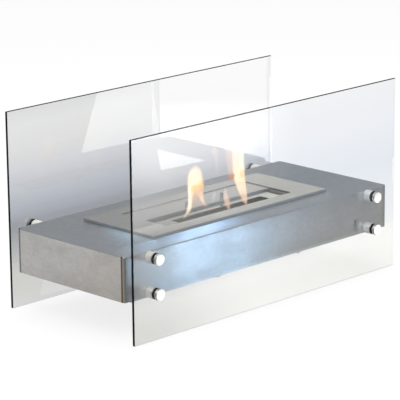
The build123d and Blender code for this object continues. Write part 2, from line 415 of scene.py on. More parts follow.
@dataclass(frozen=True)
class BrushedSteel(Finish):
    """Stainless sheet with brush lines along the length, turned on the end faces.

    The ground welds at its upright corners and the darker, warmer band beside them stand at
    distances, in millimetres, from the corner of its box.
    """

    corner: tuple[float, float]
    light: Colour = (0.62, 0.63, 0.645)
    dark: Colour = (0.46, 0.47, 0.485)
    smudge: Colour = (0.50, 0.47, 0.42)
    front_weld: Colour = (0.15, 0.105, 0.06)
    rear_weld: Colour = (0.22, 0.21, 0.20)
    stain: Colour = (0.30, 0.26, 0.20)
    roughness: float = 0.27
    spread: float = 0.08
    lines: float = 520.0
    length: float = 170.0
    flecks: float = 330.0
    bump: float = 0.22
    fleck_share: float = 0.55
    fleck_height: float = 0.5
    smears: float = 16.0
    smear_share: float = 0.10
    smear_rough: float = 0.06
    weld_end: tuple[float, float] = (3.2, 1.0)
    weld_start: tuple[float, float] = (8.2, 6.4)
    weld_stop: tuple[float, float] = (2.6, 4.4)
    stain_span: tuple[float, float] = (14.0, 4.0)
    stain_share: float = 0.42

    def paint(self, coat: Coat) -> None:
        """Paints the grain, the welds and the darker, warmer band beside the corners.

        Args:
            coat: the material's board.
        """
        x, y, z = coat.axes(coat.place)
        normal = coat.axes(coat.add("ShaderNodeNewGeometry").outputs["Normal"])
        end, upright = (coat.math("GREATER_THAN", coat.unsigned(share), AXIS_ALIGNED) for share in normal[:2])
        along = coat.add("ShaderNodeMix", {0: end, 4: coat.place, 5: coat.vector(y, x, z)}, data_type="VECTOR")
        grain = coat.grain(along.outputs[1], Lines=self.lines, Length=self.length, Flecks=self.flecks)
        smear = coat.smear(self.smears)
        base = coat.mix(grain["Grain"], self.dark, self.light)
        base = coat.mix(coat.times(grain["Fleck"], self.fleck_share), base, self.light)
        base = coat.mix(coat.times(smear, self.smear_share), base, self.smudge)
        tint = coat.mix(coat.math("GREATER_THAN", y, 0.0), self.front_weld, self.rear_weld)
        far_x, far_y = self.corner
        base = coat.mix(coat.times(self.inside(coat, x, far_x, self.weld_end),
                                   coat.times(self.inside(coat, y, far_y, self.weld_start),
                                              self.inside(coat, y, far_y, self.weld_stop))), base, tint)
        # A darker, warmer band on the front and rear faces near their ends.
        near = self.inside(coat, x, far_x, self.stain_span, self.stain_share)
        base = coat.mix(coat.times(near, upright), base, self.stain)
        rough = coat.math("MULTIPLY_ADD", grain["Cloud"], self.spread, self.roughness)
        height = coat.math("ADD", grain["Grain"], coat.times(grain["Fleck"], self.fleck_height))
        coat.give({"Base Color": base, "Roughness": coat.math("MULTIPLY_ADD", smear, self.smear_rough, rough),
                   "Metallic": 1.0, "Normal": coat.bump(self.bump, height)})

    @staticmethod
    def inside(coat: Coat, place: Socket, far: float, span: tuple[float, float], high: float = 1.0) -> Socket:
        """A mask that rises from one distance inside the box's end to another.

        Args:
            coat: the material's board.
            place: the place along an axis.
            far: the box's end on it.
            span: the two distances, in millimetres.
            high: the mask's full strength.

        Returns:
            The mask's socket.
        """
        return coat.span(coat.unsigned(place), far - span[0] * MM, far - span[1] * MM, 0.0, high)


@dataclass(frozen=True)
class SatinSteel(Finish):
    """Fine satin sheet of the burner, with a warm cast near the fire and painted shade on the lip beside it, standing
    in for a dark reflection.
    """

    light: Colour = (0.67, 0.665, 0.635)
    dark: Colour = (0.60, 0.595, 0.565)
    warm: Colour = (0.62, 0.52, 0.38)
    heat: float = 0.0
    heat_from: float = 0.06
    heat_to: float = 12.0 * MM
    fire_y: float = -36.5 * MM
    roughness: float = 0.34
    spread: float = 0.08
    lines: float = 1100.0
    length: float = 60.0
    flecks: float = 420.0
    clouds: float = 22.0
    smears: float = 26.0
    smear_share: float = 0.08
    bump: float = 0.04
    # The next four fields set painted shade on the lip, darker towards -X, standing in for a dark reflection.
    lip: float = 0.0
    lip_shade_tone: Colour = (0.15, 0.145, 0.125)
    lip_x: tuple[float, float] = (0.05, -0.09)
    lip_y: tuple[float, float] = (2.4 * MM, 0.4 * MM)

    def paint(self, coat: Coat) -> None:
        """Paints the satin grain, the cast and the painted shade on the lip.

        Args:
            coat: the material's board.
        """
        x, y, _ = coat.axes(coat.place)
        grain = coat.grain(coat.place, Lines=self.lines, Length=self.length, Flecks=self.flecks, Clouds=self.clouds)
        base = coat.mix(grain["Grain"], self.dark, self.light)
        base = coat.mix(coat.times(coat.smear(self.smears), self.smear_share), base, self.warm)
        if self.heat:
            off = coat.unsigned(coat.math("SUBTRACT", y, self.fire_y))
            base = coat.mix(coat.times(coat.span(off, self.heat_from, self.heat_to), self.heat), base, self.warm)
        # Painted shade on the lip, darker towards -X, standing in for a dark reflection.
        if self.lip:
            painted_lip_shade = coat.times(coat.span(y, *self.lip_y), coat.span(x, *self.lip_x))
            base = coat.mix(coat.times(painted_lip_shade, self.lip), base, self.lip_shade_tone)
        coat.give({"Base Color": base, "Metallic": 1.0, "Normal": coat.bump(self.bump, grain["Grain"]),
                   "Roughness": coat.math("MULTIPLY_ADD", grain["Cloud"], self.spread, self.roughness)})


@dataclass(frozen=True)
class PolishedSteel(Finish):
    """Turned and polished stand-offs and knobs, with faint tool rings and wipe marks."""

    colour: Colour = (0.94, 0.93, 0.89)
    worn: Colour = (0.86, 0.85, 0.81)
    roughness: float = 0.24
    metallic: float = 1.0
    smears: float = 90.0
    smear_share: float = 0.35
    smear_rough: float = 0.08
    rings: Point = (60.0, 2600.0, 60.0)
    bump: float = 0.04

    def paint(self, coat: Coat) -> None:
        """Paints the polish.

        Args:
            coat: the material's board.
        """
        smear = coat.smear(self.smears)
        rings = coat.noise(coat.stretched(coat.place, self.rings))
        coat.give({"Base Color": coat.mix(coat.times(smear, self.smear_share), self.colour, self.worn),
                   "Roughness": coat.math("MULTIPLY_ADD", smear, self.smear_rough, self.roughness),
                   "Metallic": self.metallic, "Normal": coat.bump(self.bump, rings)})


@dataclass(frozen=True)
class ClearGlass(Finish):
    """Toughened float glass, with a tint by height that changes from left to right: partly the glass's own faint tint,
    partly painted shade and reflection.
    """

    left: Stops
    right: Stops
    clears_from: float = -0.05
    clears_to: float = 0.05
    height: float = 0.347
    index: float = 1.5
    passing: float = 0.95
    smears: float = 9.0
    smear_rough: float = 0.004

    def paint(self, coat: Coat) -> None:
        """Paints the tint, partly painted shade and reflection, and lets shadows, soft light and mirrored rays straight
        through.

        Args:
            coat: the material's board.
        """
        x, _, z = coat.axes(coat.place)
        rise = coat.math("DIVIDE", z, self.height)
        across = coat.span(x, self.clears_from, self.clears_to)
        # The tint is partly the glass's own colour and partly painted shade and reflection.
        coat.give({"Base Color": coat.mix(across, coat.ramp(rise, self.left), coat.ramp(rise, self.right)),
                   "Roughness": coat.times(coat.smear(self.smears), self.smear_rough),
                   "Transmission Weight": 1.0, "IOR": self.index})
        path = coat.rays()
        straight = coat.math("ADD", coat.outside(), path["Transparent Depth"], clamp=True)
        beside = coat.math("MAXIMUM", coat.times(coat.mirrored(path), straight),
                           coat.math("MAXIMUM", path["Is Shadow Ray"], path["Is Diffuse Ray"]))
        clear = coat.add("ShaderNodeBsdfTransparent", {"Color": rgba(self.passing)}).outputs[0]
        coat.surface = coat.add("ShaderNodeMixShader", {0: beside, 1: coat.surface, 2: clear}).outputs[0]


@dataclass(frozen=True)
class GroundEdge(Finish):
    """The ground edge of the glass, made near-black by painted shade, which shows from outside only."""

    # Near-black painted shade, not the ground glass's own colour.
    colour: Colour = (0.004, 0.006, 0.006)
    worn: Colour = (0.010, 0.014, 0.013)
    roughness: float = 0.6
    spread: float = 0.2
    grains: float = 1400.0
    smears: float = 70.0
    smear_share: float = 0.3
    shine: float = 0.12
    bump: float = 0.1

    def paint(self, coat: Coat) -> None:
        """Paints the ground edge.

        Args:
            coat: the material's board.
        """
        fine = coat.noise(coat.place, self.grains, 3.0, 0.6)
        base = coat.mix(fine, self.colour, self.worn)
        coat.give({"Base Color": coat.mix(coat.times(coat.smear(self.smears), self.smear_share), base, self.worn),
                   "Roughness": coat.math("MULTIPLY_ADD", fine, self.spread, self.roughness),
                   "Specular IOR Level": self.shine, "Alpha": coat.outside(), "Normal": coat.bump(self.bump, fine)})


@dataclass(frozen=True)
class Moulded(Finish):
    """Rubber, plastic and plated fasteners: an even colour broken by fine noise and smears."""

    colour: Tone
    other: Tone
    roughness: float = 0.5
    metallic: float = 0.0
    scale: float = 400.0
    smears: float = 60.0
    smear_rough: float = 0.12
    bump: float = 0.12

    def paint(self, coat: Coat) -> None:
        """Paints the even colour.

        Args:
            coat: the material's board.
        """
        fine = coat.noise(coat.place, self.scale, 4.0, 0.6)
        coat.give({"Base Color": coat.mix(fine, self.colour, self.other), "Metallic": self.metallic,
                   "Roughness": coat.math("MULTIPLY_ADD", coat.smear(self.smears), self.smear_rough, self.roughness),
                   "Normal": coat.bump(self.bump, fine)})


@dataclass(frozen=True)
class FlameGlow(Finish):
    """A flame's soft glow, read from the piece's own rise from foot to tip."""

    core: Stops
    rim: Stops
    body: Stops
    licks: Point = (90.0, 90.0, 22.0)
    sway: float = 0.03
    rim_span: tuple[float, float] = (0.05, 0.6)
    softness: float = 2.0

    def paint(self, coat: Coat) -> None:
        """Paints the glow, clearer at the rim.

        Args:
            coat: the material's board.
        """
        rise = coat.add("ShaderNodeAttribute", attribute_name="rise").outputs["Fac"]
        lick = coat.noise(coat.stretched(coat.place, self.licks), bend=0.6)
        waved = coat.math("ADD", rise, coat.span(lick, 0.3, 0.7, -self.sway, self.sway, smooth=False))
        grazing = coat.add("ShaderNodeLayerWeight", {"Blend": 0.5}).outputs["Facing"]
        core, rim = coat.ramp(waved, self.core, Blend.EASE), coat.ramp(waved, self.rim, Blend.EASE)
        soft = coat.math("POWER", coat.math("SUBTRACT", 1.0, grazing, clamp=True), self.softness)
        coat.give({"Emission Color": coat.mix(coat.span(grazing, *self.rim_span), core, rim), "Emission Strength": 1.0,
                   "Base Color": rgba(0.0), "Roughness": 1.0, "Specular IOR Level": 0.0,
                   "Alpha": coat.math("MULTIPLY", soft, coat.ramp(waved, self.body), clamp=True)})


def all_finishes(effects: Effects) -> Finishes:
    """Builds every finish of the solid parts.

    Args:
        effects: the shared effects.

    Returns:
        The materials, by the part that wears them.
    """
    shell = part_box("body_shell")[1]
    looks = {
        "body": BrushedSteel("brushed_body_steel", (shell.x, shell.y)),
        "frame": SatinSteel("satin_burner_steel"),
        # The lid's lip and the deck strip in front of it carry painted shade, darker towards -X, standing in for a dark
        # reflection.
        "lid": SatinSteel("satin_lid_steel", roughness=0.28, heat=0.12, lip=1.0),
        "deck": SatinSteel("satin_deck_steel", light=(0.82, 0.81, 0.76), dark=(0.76, 0.75, 0.70), heat=0.18,
                           roughness=0.08, bump=0.02, lip=1.0, lip_shade_tone=(0.50, 0.49, 0.45), lip_x=(0.11, 0.02),
                           lip_y=(-17.0 * MM, -9.0 * MM)),
        "tank": SatinSteel("heat_stained_tank_steel", light=(0.50, 0.49, 0.47), dark=(0.36, 0.35, 0.33), heat=0.6,
                           heat_from=0.05, roughness=0.42),
        "cap": PolishedSteel("polished_steel"),
        "barrel": PolishedSteel("satin_turned_aluminium", (0.97, 0.965, 0.93), (0.90, 0.89, 0.85), 0.34, 0.35),
        "knob": PolishedSteel("dark_turned_steel", (0.70, 0.69, 0.66), (0.60, 0.59, 0.56), 0.12),
        "edge": GroundEdge("ground_glass_edge"),
        "gasket": Moulded("black_gasket", 0.012, 0.03, 0.55),
        "bush": Moulded("clear_bush", (0.78, 0.80, 0.80), (0.86, 0.87, 0.87), 0.3),
        "zinc": Moulded("bright_zinc", (0.66, 0.68, 0.70), (0.76, 0.77, 0.78), 0.32, metallic=1.0, scale=900.0),
        "fibre": Moulded("ceramic_fibre", (0.84, 0.82, 0.77), (0.93, 0.92, 0.88), 0.95, scale=600.0),
        # Glass tints: partly the glass's own, partly painted shade and reflection; the rear one darkest at the height
        # of the body's top, the front one darker over its left half.
        "rear_glass": ClearGlass(
            "rear_clear_glass",
            left=((0.0, 0.70), (0.03, (0.70, 0.70, 0.69)), (0.115, (0.655, 0.66, 0.625)),
                  (0.173, (0.633, 0.64, 0.605)), (0.40, (0.345, 0.36, 0.39)), (0.427, (0.345, 0.36, 0.388)),
                  (0.476, (0.416, 0.434, 0.477)), (0.519, (0.464, 0.488, 0.535)), (0.576, (0.522, 0.546, 0.583)),
                  (0.634, (0.604, 0.611, 0.648)), (0.692, (0.662, 0.665, 0.696)), (0.749, (0.705, 0.708, 0.712)),
                  (0.807, 0.748), (0.865, 0.772), (0.922, 0.79), (1.0, 0.745)),
            right=((0.0, 0.8), (0.40, (0.48, 0.50, 0.52)), (0.447, (0.54, 0.56, 0.585)), (0.476, (0.60, 0.615, 0.64)),
                   (0.519, (0.66, 0.67, 0.69)), (0.576, (0.69, 0.705, 0.725)), (0.634, (0.72, 0.725, 0.74)),
                   (0.692, (0.72, 0.72, 0.735)), (0.749, 0.735), (0.807, 0.76), (1.0, 0.78))),
        "front_glass": ClearGlass(
            "front_clear_glass",
            left=((0.0, (0.67, 0.67, 0.645)), (0.17, (0.69, 0.69, 0.665)), (0.25, 0.68), (0.7, 0.67), (1.0, 0.66)),
            right=((0.0, (0.95, 0.955, 0.92)), (0.17, (0.945, 0.95, 0.915)), (0.30, (0.86, 0.88, 0.90)),
                   (0.58, (0.79, 0.83, 0.88)), (0.75, (0.85, 0.877, 0.922)), (0.865, (0.886, 0.895, 0.93)),
                   (1.0, (0.915, 0.925, 0.94))),
            clears_from=-0.30, clears_to=0.0),
    }
    return {part: finish.build(effects) for part, finish in looks.items()}


# ---------------------------------------------------------------- meshes
def new_piece(name: str, points: np.ndarray, faces: Sequence[Face], *materials: bpy.types.Material,
              smooth_to: float = 40.0) -> bpy.types.Object:
    """Makes a mesh object at the origin.

    Args:
        name: the piece's name.
        points: its vertices.
        faces: its faces, counter-clockwise from outside.
        *materials: its materials; every face starts with the first.
        smooth_to: edges flatter than this, in degrees, are shaded smooth.

    Returns:
        The object.
    """
    mesh = bpy.data.meshes.new(name)
    mesh.from_pydata([tuple(p) for p in points], [], [tuple(f) for f in faces])
    for material in materials:
        mesh.materials.append(material)
    mesh.shade_smooth()
    mesh.set_sharp_from_angle(angle=math.radians(smooth_to))
    mesh.validate()
    return linked(name, mesh)


def linked(name: str, data: Any) -> bpy.types.Object:
    """Makes an object of its data and puts it in the scene."""
    piece = bpy.data.objects.new(name, data)
    bpy.context.scene.collection.objects.link(piece)
    return piece


def quads(rings: int, sides: int, first: int = 0, closed: bool = False) -> list[Face]:
    """Faces between rings of points.

    Args:
        rings: how many rings.
        sides: points on each.
        first: the first ring's first point.
        closed: whether the last ring joins the first.

    Returns:
        The faces.
    """
    faces = []
    for r in range(rings if closed else rings - 1):
        low, high = first + r * sides, first + (r + 1) % rings * sides
        faces += [(low + k, low + (k + 1) % sides, high + (k + 1) % sides, high + k) for k in range(sides)]
    return faces


def capped(rings: int, sides: int) -> list[Face]:
    """Faces of a round body whose points are a pole, its rings and the other pole."""
    last = 1 + rings * sides
    top = last - sides
    return ([(0, 1 + (k + 1) % sides, 1 + k) for k in range(sides)] + quads(rings, sides, 1)
            + [(top + k, top + (k + 1) % sides, last) for k in range(sides)])


def grid(columns: int, rows: int) -> list[Face]:
    """Faces of a flat grid of points, row by row."""
    return [(r * columns + c, r * columns + c + 1, (r + 1) * columns + c + 1, (r + 1) * columns + c)
            for r in range(rows - 1) for c in range(columns - 1)]


def rounded(profile: Sequence[Point], steps: int = 5) -> list[tuple[float, float]]:
    """Rounds the corners of a turned profile.

    Args:
        profile: distance along the axis, radius, and corner round, of each corner.
        steps: spans on each rounded corner.

    Returns:
        The profile's points, as distance and radius.
    """
    corners = [Vector(corner[:2]) for corner in profile]
    out: list[tuple[float, float]] = []
    for i, (corner, (_, _, size)) in enumerate(zip(corners, profile)):
        if size <= 0 or i in (0, len(corners) - 1):
            out.append(tuple(corner))
            continue
        start, end = (corner + (corners[j] - corner).normalized() * size for j in (i - 1, i + 1))
        for t in (k / steps for k in range(steps + 1)):
            out.append(tuple(start * (1 - t) ** 2 + corner * 2 * t * (1 - t) + end * t ** 2))
    return out


def turned(name: str, profile: Sequence[Point], foot: Vector, axis: Vector, material: bpy.types.Material,
           sides: int = 64) -> bpy.types.Object:
    """Turns a profile round an axis, as on a lathe.

    Args:
        name: the piece's name.
        profile: corners as rounded() takes them, from one pole to the other, or, for a piece with a
            bore, from the bore outwards and back to the bore.
        foot: where the axis starts.
        axis: its direction.
        material: the piece's material.
        sides: facets round the axis.

    Returns:
        The object.
    """
    line = rounded(profile)
    across = axis.orthogonal().normalized()
    other = axis.cross(across).normalized()
    rings = [p for p in line if p[1] > 0]
    turns = [2 * math.pi * k / sides for k in range(sides)]
    points = [foot + axis * along + (across * math.cos(turn) + other * math.sin(turn)) * radius
              for along, radius in rings for turn in turns]
    if len(rings) < len(line):
        points = [foot + axis * line[0][0], *points, foot + axis * line[-1][0]]
        faces = capped(len(rings), sides)
    else:
        faces = quads(len(rings), sides, closed=True)
    return new_piece(name, np.array([tuple(p) for p in points]), faces, material, smooth_to=35.0)


def dress(material: bpy.types.Material, *nodes: str) -> None:
    """Puts a finish on CAD nodes."""
    for node in nodes:
        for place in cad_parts[node].material_slots:
            place.material = material
        log.info("dressed %s in %s", node, material.name)


def seat(piece: bpy.types.Object, body: str, finish: str, *nodes: str) -> None:
    """Lets a piece ride on a body and stand for CAD nodes.

    Args:
        piece: the piece.
        body: the body it moves with.
        finish: not used.
        *nodes: the nodes that it replaces.
    """
    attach(piece, body)
    if nodes:
        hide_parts(*nodes)
    log.info("built %s on %s", piece.name, body)


def apply_tree(name: str, start: bpy.types.Mesh, tree: bpy.types.NodeTree, values: dict[str, Any]) -> bpy.types.Object:
    """Runs a Geometry Nodes tree on a mesh and keeps the plain mesh that comes out.

    Args:
        name: the new piece's name.
        start: the mesh that goes in.
        tree: the node tree.
        values: the tree's inputs, by name.

    Returns:
        The new object, with no modifier.
    """
    maker = linked(name + "_maker", start)
    modifier = maker.modifiers.new("tree", "NODES")
    modifier.node_group = tree
    sockets = {s.name: s.identifier for s in tree.interface.items_tree if s.in_out == "INPUT"}
    for label, value in values.items():
        modifier[sockets[label]] = value
    bpy.context.view_layer.update()
    shown = maker.evaluated_get(bpy.context.evaluated_depsgraph_get())
    mesh = bpy.data.meshes.new_from_object(shown)
    mesh.name = name
    bpy.data.objects.remove(maker)
    return linked(name, mesh)


def close_tree(board: Board, geometry: Socket, material: Socket, result: Any) -> bpy.types.NodeTree:
    """Ends a Geometry Nodes tree: makes its instances real and sets their material.

    Args:
        board: the tree's board.
        geometry: what it has made.
        material: its material input.
        result: what goes out.

    Returns:
        The tree.
    """
    real = board.add("GeometryNodeRealizeInstances", {0: geometry}).outputs[0]
    dressed = board.add("GeometryNodeSetMaterial", {"Geometry": real, "Material": material})
    board.feed(result[0], dressed.outputs[0])
    return board.tree


# ---------------------------------------------------------------- sub-assemblies
@dataclass
class SteelBody:
    """The folded body, its bottom cover and the screws that hold it."""

    finishes: Finishes
    screw_x: tuple[float, ...] = (-0.300, -0.100, 0.100, 0.300)
    screw_edge: float = 10.0 * MM
    head: float = 7.6 * MM
    shank: float = 4.0 * MM
    recess: float = 4.2 * MM
    recess_width: float = 1.1 * MM
    taper: float = 0.72
    smooth_to: float = 30.0

    def build(self) -> None:
        """Dresses the sheet and makes the cover screws."""
        dress(self.finishes["body"], "body_shell", "bottom_cover")
        dress(self.finishes["zinc"], "clinch_nuts")
        self.screws()

    def screws(self) -> None:
        """Makes the pan-head screws with their cross recess, one for each hole."""
        low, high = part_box("cover_screws")
        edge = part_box("body_shell")[1].y - self.screw_edge
        seat_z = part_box("bottom_cover")[0].z
        points = bpy.data.meshes.new("cover_screw_places")
        points.from_pydata([(x, side.value * edge, seat_z) for side in Side for x in self.screw_x], [], [])
        values = {"Head": self.head / 2, "Head Height": seat_z - low.z, "Shank": self.shank / 2,
                  "Shank Length": high.z - seat_z, "Recess": self.recess, "Recess Width": self.recess_width,
                  "Material": self.finishes["zinc"]}
        piece = apply_tree("cover_screw_set", points, self.screw_tree(), values)
        piece.data.shade_smooth()
        piece.data.set_sharp_from_angle(angle=math.radians(self.smooth_to))
        seat(piece, "root", "zinc_fasteners", "cover_screws")

    @staticmethod
    def moved(board: Board, mesh: Socket, height: Feed, turn: Sequence[float] = (0, 0, 0)) -> Socket:
        """Lifts a mesh, and turns it by angles in radians."""
        return board.add("GeometryNodeTransform", {"Geometry": mesh, "Translation": board.vector(z=height),
                                                   "Rotation": turn}).outputs[0]

    def screw_tree(self) -> bpy.types.NodeTree:
        """A tree that sets one cross-recessed screw, head down, on every point.

        Returns:
            The tree.
        """
        board, given, result = new_tree("cover_screw_maker", "Geometry", {
            "Geometry": "Geometry", "Head": 3.8 * MM, "Head Height": 2.6 * MM, "Shank": 2.0 * MM,
            "Shank Length": 6.5 * MM, "Recess": 4.2 * MM, "Recess Width": 1.1 * MM, "Material": "Material"},
            ("Geometry",))
        half = board.times(given["Head Height"], 0.5)
        floor = board.times(given["Head Height"], -1.0)
        rim, crown, stem, bar = (board.add("GeometryNodeMesh" + kind, feeds).outputs[0] for kind, feeds in (
            ("Cylinder", {"Vertices": 24, "Radius": given["Head"], "Depth": half}),
            ("Cone", {"Vertices": 24, "Radius Top": board.times(given["Head"], self.taper),
                      "Radius Bottom": given["Head"], "Depth": half}),
            ("Cylinder", {"Vertices": 16, "Radius": given["Shank"], "Depth": given["Shank Length"]}),
            ("Cube", {"Size": board.vector(given["Recess"], given["Recess Width"], half)})))
        cut = board.add("GeometryNodeMeshBoolean", operation="DIFFERENCE")
        board.feed(cut.inputs["Mesh 1"], self.moved(board, crown, board.times(half, -2.0), (math.pi, 0, 0)))
        for turn in (0, math.pi / 2):
            board.feed(cut.inputs["Mesh 2"], self.moved(board, bar, floor, (0, 0, turn)))
        screw = board.add("GeometryNodeJoinGeometry")
        for part in (self.moved(board, rim, board.times(half, -0.5)),
                     self.moved(board, stem, board.times(given["Shank Length"], 0.5)), cut.outputs[0]):
            board.feed(screw.inputs[0], part)
        each = board.add("GeometryNodeInstanceOnPoints", {"Points": given["Geometry"], "Instance": screw.outputs[0]})
        return close_tree(board, each.outputs[0], given["Material"], result)


@dataclass
class GlassSide:
    """One glass panel with its four stand-offs, gaskets, bushes and fixing screws."""

    side: Side
    finishes: Finishes
    foot_round: float = 1.4 * MM
    lip: float = 0.5 * MM
    face_round: float = 0.8 * MM
    groove: float = 0.5 * MM
    nick: float = 0.1 * MM
    stud: float = 8.0 * MM
    arris: float = 0.5 * MM
    corner: float = 0.6 * MM
    hole: float = 12.0 * MM
    hole_arris: float = 0.3 * MM
    hole_sides: int = 40

    def build(self) -> None:
        """Cuts the panel, dresses the small parts and turns the stand-offs."""
        self.pane()
        for finish, parts in (("gasket", ("inner_gaskets", "outer_gaskets")), ("bush", ("glass_bushes",)),
                              ("zinc", ("washers", "fixing_screws"))):
            dress(self.finishes[finish], *(f"{self.side.label}_{part}" for part in parts))
        for place in self.side.stand_offs:
            self.post(place)
            self.cap(place)

    def pane(self) -> None:
        """Cuts the panel, with ground edges and four polished holes."""
        name = self.side.label
        low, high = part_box(name + "_glass")
        holes = [(start + end) / 2 for start, end in (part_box(place + "_post") for place in self.side.stand_offs)]
        points: list[Point] = []
        levels: list[list[list[int]]] = []
        for y, inset, flare in ((low.y, self.arris, self.hole_arris), (low.y + self.arris, 0.0, 0.0),
                                (high.y - self.arris, 0.0, 0.0), (high.y, self.arris, self.hole_arris)):
            levels.append([])
            for loop in [self.outline(low, high, inset)] + [self.circle(hole, self.hole / 2 + flare) for hole in holes]:
                levels[-1].append(list(range(len(points), len(points) + len(loop))))
                points += [(x, y, z) for x, z in loop]
        faces: list[Face] = []
        rims: list[int] = []
        for lower, upper in zip(levels, levels[1:]):
            for n, (a, b) in enumerate(zip(lower, upper)):
                walls = [(a[k], a[(k + 1) % len(a)], b[(k + 1) % len(a)], b[k]) for k in range(len(a))]
                if n == 0:
                    walls = [tuple(reversed(wall)) for wall in walls]
                    rims += range(len(faces), len(faces) + len(walls))
                faces += walls
        for level, flip in ((levels[0], False), (levels[-1], True)):
            order = [i for loop in level for i in loop]
            for triangle in tessellate_polygon([[Vector((points[i][0], points[i][2], 0.0)) for i in loop]
                                                for loop in level]):
                corners = [order[k] for k in triangle]
                a, b, c = (Vector(points[i]) for i in corners)
                outward = (b - a).cross(c - a).y > 0
                faces.append(tuple(corners if outward == flip else reversed(corners)))
        piece = new_piece(name + "_glass_pane", np.array(points), faces, self.finishes[name + "_glass"],
                          self.finishes["edge"], smooth_to=20.0)
        for n in rims:
            piece.data.polygons[n].material_index = 1
        seat(piece, "root", "clear_glass", name + "_glass")

    def outline(self, low: Vector, high: Vector, inset: float) -> list[tuple[float, float]]:
        """The panel's outline with nipped corners.

        Args:
            low: the panel's low corner.
            high: its high corner.
            inset: how far the outline stands in.

        Returns:
            Its points across and up, counter-clockwise from the front.
        """
        middle, half = (low + high) / 2, (high - low) / 2
        far_x, far_z, nip = half.x - inset, half.z - inset, self.corner
        corners = ((-far_x + nip, -far_z), (far_x - nip, -far_z), (far_x, -far_z + nip), (far_x, far_z - nip),
                   (far_x - nip, far_z), (-far_x + nip, far_z), (-far_x, far_z - nip), (-far_x, -far_z + nip))
        return [(middle.x + x, middle.z + z) for x, z in corners]

    def circle(self, centre: Vector, radius: float) -> list[tuple[float, float]]:
        """A hole's rim, as points across and up, counter-clockwise from the front."""
        turns = [2 * math.pi * k / self.hole_sides for k in range(self.hole_sides)]
        return [(centre.x + radius * math.cos(turn), centre.z + radius * math.sin(turn)) for turn in turns]

    def post(self, place: str) -> None:
        """Turns one post, with a soft edge at the steel.

        Args:
            place: the start of the node's name.
        """
        low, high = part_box(place + "_post")
        middle, length, radius, bore = (low + high) / 2, high.y - low.y, (high.z - low.z) / 2, self.stud / 2
        out = self.side.value
        foot = Vector((middle.x, low.y if out > 0 else high.y, middle.z))
        profile = [(0.0, bore, 0.0), (0.0, radius, self.foot_round), (length, radius, self.lip), (length, bore, 0.0)]
        piece = turned(place + "_barrel", profile, foot, Vector((0, out, 0)), self.finishes["barrel"])
        seat(piece, "root", "polished_steel", place + "_post")

    def cap(self, place: str) -> None:
        """Turns one flat cap, with a groove round it and its stud.

        Args:
            place: the start of the node's name.
        """
        low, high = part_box(place + "_cap")
        middle, length, radius, stud = (low + high) / 2, high.y - low.y, (high.z - low.z) / 2, self.stud / 2
        out = self.side.value
        face = Vector((middle.x, high.y if out > 0 else low.y, middle.z))
        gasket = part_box(self.side.label + "_outer_gaskets")
        thick = abs(face.y - (gasket[1].y if out > 0 else gasket[0].y))
        cut = radius - self.groove
        profile = [(0.0, 0.0, 0.0), (0.0, radius, self.face_round),
                   *((share * thick, wide, self.nick) for share, wide in
                     ((0.62, radius), (0.66, cut), (0.78, cut), (0.82, radius))),
                   (thick, radius, 0.2 * MM), (thick, stud, 0.0), (length, stud, 0.4 * MM), (length, 0.0, 0.0)]
        piece = turned(place + "_cap_face", profile, face, Vector((0, -out, 0)), self.finishes["cap"])
        seat(piece, "root", "polished_steel", place + "_cap")


